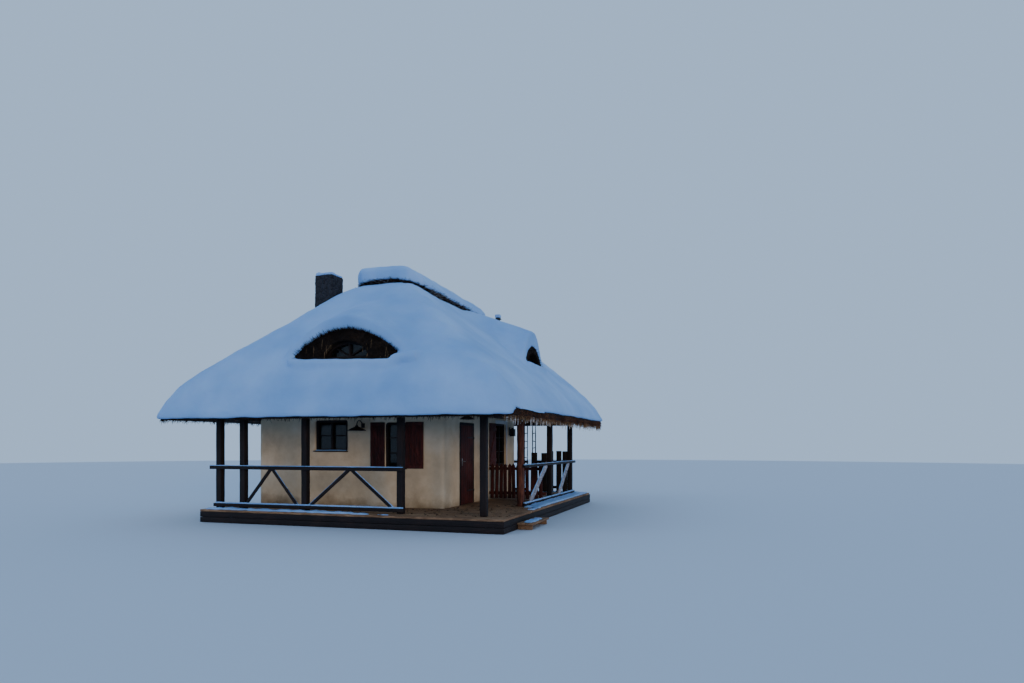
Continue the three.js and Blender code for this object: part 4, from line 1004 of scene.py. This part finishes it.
# %% Fascia, joists and step
EDGE = 0.02
x0, x1, y0, y1 = DECK_LOW.x, DECK_HIGH.x, DECK_LOW.y, DECK_HIGH.y
lying, running = [], []
for drop in (0.109, 0.235):
    z = DECK_HIGH.z - drop
    lying += [((x0, y0 + EDGE, z), (x1, y0 + EDGE, z)), ((x0, y1 - EDGE, z), (x1, y1 - EDGE, z))]
    running += [
        ((x1 - EDGE, y0 + 2 * EDGE, z), (x1 - EDGE, y1 - 2 * EDGE, z)),
        ((x0 + EDGE, y0 + 2 * EDGE, z), (x0 + EDGE, WALL_FRONT - EDGE, z)),
        ((x0 + EDGE, WALL_REAR + EDGE, z), (x0 + EDGE, y1 - 2 * EDGE, z)),
    ]
worn = {"arris": 0.004, "rough": 0.006}
fascia = bars("fascia_across", [(*ends, 0.118, 0.036) for ends in lying], ALONG_Y, **worn)
fascia += bars("fascia_deep", [(*ends, 0.118, 0.036) for ends in running], ALONG_X, **worn)
dress(joined("deck_fascia", fascia), TIMBER["X"], 30)

JOIST_LEVEL, SHY = 0.19, 0.05
joist_rows = []
for x in [-3.2, -1.9, -0.6, 0.7, 2.02, 3.0, 3.9]:
    runs = [(y0 + SHY, WALL_FRONT - SHY), (WALL_REAR + SHY, y1 - SHY)]
    if x > HOUSE_RIGHT:
        runs = [(y0 + SHY, y1 - SHY)]
    joist_rows += [((x, a, JOIST_LEVEL), (x, b, JOIST_LEVEL), 0.08, 0.12) for a, b in runs]
joists = bars("joist", joist_rows, rough=0.006, stretch=0.6)
dress(joined("deck_joists", joists), TIMBER["Y"], 30)

low, high = corners("entrance_step")
tread_level, string_level = high.z - 0.023, 0.055
tread_rows, string_rows = [], []
for x in (low.x + 0.09, low.x + 0.268):
    tread_rows.append(((x, low.y, tread_level), (x, high.y, tread_level), 0.168, 0.042))
for y in (low.y + 0.09, high.y - 0.09):
    string_rows.append(((low.x, y, string_level), (high.x - 0.04, y, string_level), 0.06, 0.1))
treads = bars("tread", tread_rows, rough=0.008) + bars("string", string_rows, rough=0.006)
dress(joined("step_boards", treads), DECKING["Y"], 30, replaces="entrance_step")
print("fascia, joists and step:", len(fascia), len(joists), len(treads))

# %% [markdown]
# Shutters and door are ledged and braced leaves: upright boards side by side, held by planks nailed across
# them and one slanting brace that stops them from sagging. A leaf is given by its corner, the direction
# across it and the direction out of the wall, so that one function serves the front wall and the side wall.

# %% Boarded leaves
def leaf(name, corner, across, out, size, boards, planks_on, thick=0.022):
    """Boards and planks of a leaf. planks_on holds (start, end, width) as distances across and up."""
    corner, across, out, up = Vector(corner), Vector(across), Vector(out), Vector(ALONG_Z)
    width, height = size
    step = width / boards
    board_rows = []
    for i in range(boards):
        foot = corner + across * (step * (i + 0.5)) + out * (thick / 2)
        board_rows.append((foot, foot + up * height, step - 0.004, thick))
    made = bars(name + "_board", board_rows, out, arris=0.003, rough=0.003)
    outer = corner + out * (thick + PLANK_THICK / 2)
    for i, (start, end, wide) in enumerate(planks_on):
        ends = [outer + across * a + up * z for a, z in (start, end)]
        made.append(bar(f"{name}_plank_{i}", *ends, wide, PLANK_THICK, out, arris=0.003, rough=0.002))
    return joined(name, made)


PLANK_THICK = 0.013
EDGING = 0.07
for node in ("front_shutter_left", "front_shutter_right"):
    low, high = corners(node)
    wide, tall, mid = high.x - low.x, high.z - low.z, EDGING / 2
    rows = [
        ((0, mid), (wide, mid), EDGING),
        ((0, tall - mid), (wide, tall - mid), EDGING),
        ((mid, EDGING), (mid, tall - EDGING), EDGING),
        ((wide - mid, EDGING), (wide - mid, tall - EDGING), EDGING),
        ((wide - 0.09, 0.1), (0.09, tall * 0.55), 0.06),
    ]
    name = node.replace("front_", "boarded_")
    shutter = leaf(name, (low.x, high.y, low.z), ALONG_X, (0, -1, 0), (wide, tall), 4, rows)
    dress(shutter, PAINTED["Z"], 30, replaces=node)

low, high = corners("side_shutter")
wide, tall = high.y - low.y, high.z - low.z
rows = [
    ((0, 0.17), (wide, 0.17), 0.09),
    ((0, tall - 0.17), (wide, tall - 0.17), 0.09),
    ((0.05, 0.22), (wide - 0.05, tall - 0.22), 0.085),
]
shutter = leaf("boarded_side_shutter", low, ALONG_Y, ALONG_X, (wide, tall), 4, rows)
dress(shutter, PAINTED["Z"], 30, replaces="side_shutter")

# %% [markdown]
# The door has thick tongued boards outside and its ledges inside. Two long strap hinges end in eyes that
# sit on the pins of the frame, and a forged lever stands on a plate near the free edge. Boards and ironwork
# are separate pieces, and all of them ride on the leaf's body, so they swing with it.

# %% Entrance door
leaf_low, leaf_high = corners("entrance_door")
frame_low, frame_high = corners("door_frame")
FREE, HUNG = frame_low.y + 0.065, frame_high.y - 0.065
DOOR_FOOT, DOOR_FACE = leaf_low.z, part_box("right_wall_before_door")[1][0]
wide, tall = HUNG - FREE, leaf_high.z - DOOR_FOOT
corner = (DOOR_FACE - 0.024, FREE, DOOR_FOOT)
outer = leaf("door_boards", corner, ALONG_Y, ALONG_X, (wide, tall), 6, [], 0.024)
ledges = [
    ((0.02, 0.25), (wide - 0.02, 0.25), 0.14),
    ((0.02, tall / 2), (wide - 0.02, tall / 2), 0.14),
    ((0.02, tall - 0.25), (wide - 0.02, tall - 0.25), 0.14),
    ((0.08, tall / 2 + 0.07), (wide - 0.08, tall - 0.32), 0.11),
]
inside = DOOR_FACE - 0.037
rows = [(*((inside, FREE + a, DOOR_FOOT + z) for a, z in ends), w, 0.025) for *ends, w in ledges]
door = joined("door_boards", [outer, *bars("door_ledge", rows, ALONG_X, arris=0.004, rough=0.002)])
dress(door, PAINTED["Z"], 30, body="door_leaf", replaces="entrance_door")

PIN_X, PIN_Y, HINGES = 1.941, HUNG + 0.0025, (0.62, 1.96)


def eye(z):
    """A rolled hinge eye: a ring round the pin."""
    place = (PIN_X, PIN_Y, z)
    size = {"vertices": 20, "radius": 0.016, "depth": 0.036}
    bpy.ops.mesh.primitive_cylinder_add(location=place, end_fill_type="NOTHING", **size)
    piece = bpy.context.object
    shell = piece.modifiers.new("wall", "SOLIDIFY")
    shell.thickness = 0.007
    shell.offset = -1
    return apply_modifiers(piece)


def nail_head(y, z):
    """A forged nail head, flatter than a ball."""
    place = (DOOR_FACE + 0.008, y, z)
    bpy.ops.mesh.primitive_uv_sphere_add(segments=10, ring_count=6, radius=0.008, location=place)
    bpy.context.object.scale = (0.6, 1, 1)
    return bpy.context.object


iron = []
for hinge in HINGES:
    z = hinge + 0.018
    ends = [(DOOR_FACE + 0.004, y, z) for y in (HUNG - 0.42, PIN_Y - 0.005)]
    iron.append(bar("strap", *ends, 0.034, 0.008, ALONG_X, arris=0.002, rough=0.002, stretch=0.08))
    iron.append(eye(z))
    iron += [nail_head(HUNG - 0.38 + 0.09 * k, z) for k in range(4)]
LEVER_Y, LEVER_Z = FREE + 0.08, 1.38
ends = [(DOOR_FACE + 0.003, LEVER_Y, z) for z in (1.27, 1.45)]
plate = bar("lock_plate", *ends, 0.04, 0.006, ALONG_X, arris=0.002, rough=0)
ends = [(DOOR_FACE + out, LEVER_Y, LEVER_Z) for out in (0, 0.048)]
stem = log("lever_stem", *ends, 0.008, 0.002, rough=0)
ends = [(DOOR_FACE + 0.042, y, z) for y, z in ((LEVER_Y - 0.005, LEVER_Z), (LEVER_Y + 0.11, LEVER_Z - 0.003))]
lever = log("lever", *ends, 0.009, 0.003, rough=0.002)
dress(joined("door_straps", iron), IRON, 40, body="door_leaf")
dress(joined("door_lever", [plate, stem, lever]), STEEL, 40, body="door_leaf")
print("door leaf from", round(FREE, 3), "to", round(HUNG, 3))

# %% [markdown]
# A casement window is a frame of four worn timbers, a mullion and thin glazing bars, over one pane. Each
# solid frame is replaced by real joinery of the same outside size, and a board sill throws the meltwater
# off the wall.

# %% Casement windows
STILE, SASH_BAR, MULLION = 0.055, 0.026, 0.05


def window(name, node, along, out, mullions, rungs, finish):
    """Joinery in the place of a solid frame. along is 0 on front and rear walls, 1 on side walls."""
    low, high = corners(node)
    (a0, a1), (z0, z1) = (low[along], high[along]), (low.z, high.z)
    d0, d1 = low[1 - along], high[1 - along]
    depth, middle, half = d1 - d0, (d0 + d1) / 2, STILE / 2
    rows = [((a0, z), (a1, z), STILE, depth) for z in (z0 + half, z1 - half)]
    rows += [((a, z0 + STILE), (a, z1 - STILE), STILE, depth) for a in (a0 + half, a1 - half)]
    for i in range(1, mullions + 1):
        a = a0 + (a1 - a0) * i / (mullions + 1)
        rows.append(((a, z0 + half), (a, z1 - half), MULLION, depth * 0.9))
    for i in range(1, rungs + 1):
        z = z0 + (z1 - z0) * i / (rungs + 1)
        rows.append(((a0 + half, z), (a1 - half, z), SASH_BAR, depth * 0.5))
    placed = [(*(spot(along, a, middle, z) for a, z in ends), wide, deep) for *ends, wide, deep in rows]
    made = bars(name, placed, FACING[along], arris=0.004, rough=0.001)
    dress(joined(name, made), finish, 30, replaces=node)
    face = (d1 if out > 0 else d0) + out * 0.045
    ends = [spot(along, a, face, z0 - 0.004) for a in (a0 - 0.03, a1 + 0.03)]
    dress(bar(name + "_sill", *ends, 0.09, 0.028, arris=0.005), finish, 30)


window("front_left_joinery", "front_window_left_frame", 0, -1, 1, 1, TIMBER["X"])
window("front_right_joinery", "front_window_right_frame", 0, -1, 0, 2, TIMBER["Z"])
window("rear_joinery", "rear_window_frame", 0, 1, 1, 1, TIMBER["X"])
window("side_joinery", "side_window_frame", 1, 1, 1, 2, TIMBER["Z"])
window("left_joinery", "left_window_frame", 1, -1, 1, 1, TIMBER["Z"])

# %% [markdown]
# The side window has a pale painted board above it and one on its right. The dormer windows get thin bars
# that fan out from the middle of the sill, as old half-round windows have.

# %% Window trim and fan bars
low, high = corners("side_window_frame")
face = DOOR_FACE + 0.011
trim_rows = [
    ((face, low.y - 0.04, high.z + 0.05), (face, high.y + 0.11, high.z + 0.05), 0.1, 0.022),
    ((face, high.y + 0.055, low.z - 0.03), (face, high.y + 0.055, high.z), 0.1, 0.022),
]
trim = bars("trim", trim_rows, ALONG_X, arris=0.003, rough=0.003)
dress(joined("pale_window_trim", trim), PALE_TRIM, 30)


def fan_bars(name, node, along):
    """Two bars from the middle of the sill to the arch of a half-round window."""
    low, high = corners(node)
    middle, depth = ((low[axis] + high[axis]) / 2 for axis in (along, 1 - along))
    half, tall = (high[along] - low[along]) / 2 - 0.07, high.z - low.z - 0.11
    rows = []
    for turn in (math.radians(45), math.radians(135)):
        hub = spot(along, middle + 0.02 * math.cos(turn), depth, low.z + 0.06)
        arch = spot(along, middle + half * math.cos(turn), depth, low.z + 0.05 + tall * math.sin(turn))
        rows.append((hub, arch, 0.024, 0.04))
    made = bars(name, rows, FACING[along], arris=0.004, rough=0.001)
    dress(joined(name, made), TIMBER["Z"], 30)


fan_bars("front_fan_bars", "front_dormer_frame", 0)
fan_bars("side_fan_bars", "side_dormer_frame", 1)
print("windows dressed")

# %% [markdown]
# The fence across the gallery is made of pickets with a pointed head. One picket is modelled: a bar whose
# top is cut by two slanting planes. It is copied along the two rails, and no two copies hang quite alike.

# %% Picket fence
low, high = corners("gallery_pickets")
PICKET_WIDE, PICKET_PITCH, SHOULDER = 0.096, 0.127, 0.065
ends = (0, 0, low.z), (0, 0, high.z)
picket = bar("picket", *ends, PICKET_WIDE, 0.028, ALONG_Y, arris=0.003, rough=0.002, stretch=0.12)
with editing(picket):
    for side in (1, -1):
        bpy.ops.mesh.select_all(action="SELECT")
        slope = Vector((side * SHOULDER, 0, PICKET_WIDE / 2)).normalized()
        tip = (0, 0, high.z - 0.001)
        bpy.ops.mesh.bisect(plane_co=tip, plane_no=slope, use_fill=True, clear_outer=True)
dice = random.Random(5)
pickets = []
x = low.x + 0.094
while x < high.x - PICKET_WIDE / 2:
    copy = twin(picket, "picket_copy")
    copy.location = (x, low.y + 0.0145, dice.uniform(-0.012, 0))
    copy.rotation_euler = (0, math.radians(dice.uniform(-1.2, 1.2)), 0)
    pickets.append(copy)
    x += PICKET_PITCH
bpy.data.objects.remove(picket)
rail_y = low.y + 0.046
rows = [((low.x, rail_y, z), (high.x, rail_y, z), 0.078, 0.034) for z in (0.48, 1.144)]
fence = joined("fence", pickets + bars("fence_rail", rows, ALONG_Y, rough=0.003))
dress(fence, PAINTED["Z"], 30, replaces="gallery_pickets")
print("pickets:", len(pickets))

# %% [markdown]
# The parapet at the rear end of the gallery is older: five wide boards of uneven length, nailed to two
# rails.

# %% Worn parapet
SCREEN_BOARDS = [  # left edge, width and top
    (2.236, 0.2, 1.555),
    (2.564, 0.18, 1.545),
    (2.8, 0.16, 1.6),
    (3.05, 0.17, 1.61),
    (3.246, 0.152, 1.6),
]
low, high = corners("rear_parapet")
rows = []
for x, wide, top in SCREEN_BOARDS:
    foot, head = ((x + wide / 2, low.y + 0.0165, z) for z in (0.33, top - 0.004))
    rows.append((foot, head, wide - 0.006, 0.026))
screen = bars("screen_board", rows, ALONG_Y, arris=0.004, rough=0.006, stretch=0.2)
rows = [((2.3815, high.y - 0.02, z), (high.x, high.y - 0.02, z), 0.085, 0.034) for z in (0.475, 1.265)]
screen += bars("screen_rail", rows, ALONG_Y, rough=0.004)
dress(joined("gallery_screen", screen), TIMBER["Z"], 30, replaces="rear_parapet")
print("parapet boards:", len(SCREEN_BOARDS))

# %% [markdown]
# A little snow lies wherever the wind could carry it: on the rails and braces, along the outer edge of the
# deck, on the sills, on the step, and in lumps on the chimney and the vent. Each place gets plain blocks,
# which are joined and rebuilt in fine cells like the roof's snow, so that they end in soft rounded rims.

# %% Thin snow
def snow_on(name, blocks, cell, rubs, lift):
    """Joins blocks of (start, end, width, height) and softens them."""
    banks = [bank(f"{name}_{i}", *block) for i, block in enumerate(blocks)]
    piece = weathered_skin(joined(name, banks), cell, rubs, [(0.16, lift)], 0.5)
    dress(piece, SNOW, 180)


def on_rail(node, along, rows):
    """Blocks on the upper edges of a railing's planks, from distances along it and heights."""
    low, high = corners(node)
    middle = (low[1 - along] + high[1 - along]) / 2
    return [(*(spot(along, a, middle, z) for a, z in ends), wide, tall) for *ends, wide, tall in rows]


front_rows = [
    ((front_low.x, 1.308), (front_high.x, 1.308), 0.042, 0.02),
    ((front_low.x + 0.15, 0.437), (front_high.x, 0.437), 0.046, 0.034),
    ((-0.7, 0.45), (0.33, 1.292), 0.034, 0.018),
    ((1.4, 0.46), (0.38, 1.295), 0.034, 0.018),
    ((-2.4, 0.46), (-1.72, 1.275), 0.034, 0.018),
    ((-1.0, 0.46), (-1.66, 1.275), 0.034, 0.018),
]
side_rows = [
    ((side_low.y, 1.312), (side_high.y, 1.31), 0.042, 0.022),
    ((side_low.y, 0.392), (side_high.y - 0.2, 0.392), 0.05, 0.035),
    ((-0.66, 0.54), (0.55, 1.238), 0.036, 0.03),
    ((2.15, 0.545), (3.11, 1.238), 0.036, 0.03),
]
snow_on("front_rail_snow", on_rail("front_railing", 0, front_rows), 0.014, 2, 0.01)
snow_on("side_rail_snow", on_rail("side_railing", 1, side_rows), 0.015, 2, 0.012)
ledge = DECK_HIGH.z + 0.012
deck_blocks = [
    ((3.8, -1.4, ledge), (3.8, 4.18, ledge), 0.38, 0.05),
    ((-3.3, -3.97, ledge), (0.3, -3.97, ledge), 0.24, 0.05),
    ((0.1, -4.0, ledge), (0.95, -4.02, ledge - 0.01), 0.15, 0.04),
    ((1.15, -4.03, ledge - 0.008), (1.45, -4.03, ledge - 0.01), 0.1, 0.03),
    ((3.93, -1.95, ledge - 0.005), (3.93, -1.3, ledge - 0.005), 0.16, 0.035),
    ((-3.2, 4.15, ledge), (3.7, 4.15, ledge), 0.16, 0.05),
    ((4.25, -3.2, 0.158), (4.25, -2.3, 0.158), 0.2, 0.034),
]
snow_on("deck_snow", deck_blocks, 0.026, 6, 0.06)

low, high = corners("chimney")
RIM, END = 0.065, 0.02
x0, x1, y0, y1, top = low.x + END, high.x - END, low.y + END, high.y - END, high.z + 0.015
stack_blocks = [
    ((x0, low.y + RIM, top), (x1, low.y + RIM, top + 0.01), 0.12, 0.07),
    ((x0, high.y - RIM, top + 0.02), (x1, high.y - RIM, top), 0.12, 0.06),
    ((low.x + RIM, y0, top + 0.02), (low.x + RIM, y1, top + 0.025), 0.12, 0.08),
    ((high.x - RIM, y0, top), (high.x - RIM, y1, top), 0.12, 0.05),
]
snow_on("chimney_snow", stack_blocks, 0.016, 5, 0.04)
low, high = corners("vent_pipe")
middle = (low + high) / 2
ends = [(middle.x + reach, middle.y, high.z - 0.01) for reach in (-0.08, 0.08)]
snow_on("vent_snow", [(*ends, 0.16, 0.1)], 0.014, 7, 0.02)
sill_blocks = []
for node, along, out in [
    ("front_window_left_frame", 0, -1),
    ("front_window_right_frame", 0, -1),
    ("left_window_frame", 1, -1),
    ("rear_window_frame", 0, 1),
]:
    low, high = corners(node)
    face = (high[1 - along] if out > 0 else low[1 - along]) + out * 0.052
    ends = [spot(along, a, face, low.z + 0.016) for a in (low[along] + 0.02, high[along] - 0.02)]
    sill_blocks.append((*ends, 0.05, 0.026))
snow_on("sill_snow", sill_blocks, 0.012, 2, 0.01)

# %% [markdown]
# Stalks fall from the eave and collect on the deck in front of the door. The brush that made the reed tips
# makes them too: each one lies flat, in any direction. The door has swept its own arc clean, so none lie
# there.

# %% Fallen stalks
STREWN = [((2.0, 3.9), (-3.9, 0.6), 330), ((-0.4, 2.0), (-3.6, -2.36), 150)]
swept = leaf_high.y - leaf_low.y + 0.16
dice = np.random.default_rng(31)
litter = []
for across, deep, count in STREWN:
    for _ in range(count):
        turn = dice.uniform(0, 2 * math.pi)
        root = np.array([dice.uniform(*across), dice.uniform(*deep), DECK_HIGH.z + 0.004])
        if math.dist(root[:2], leaf_high[:2]) > swept:
            litter.append((root, np.array([math.cos(turn), math.sin(turn), 0.0])))
brush("fallen_stalks", litter, (0.02, 0.1), (0.003, 0.006), 0, 0.03, 32, STRAW)
brush("fallen_bark", litter[::2], (0.02, 0.06), (0.006, 0.012), 0, 0.03, 33, HEATHER)
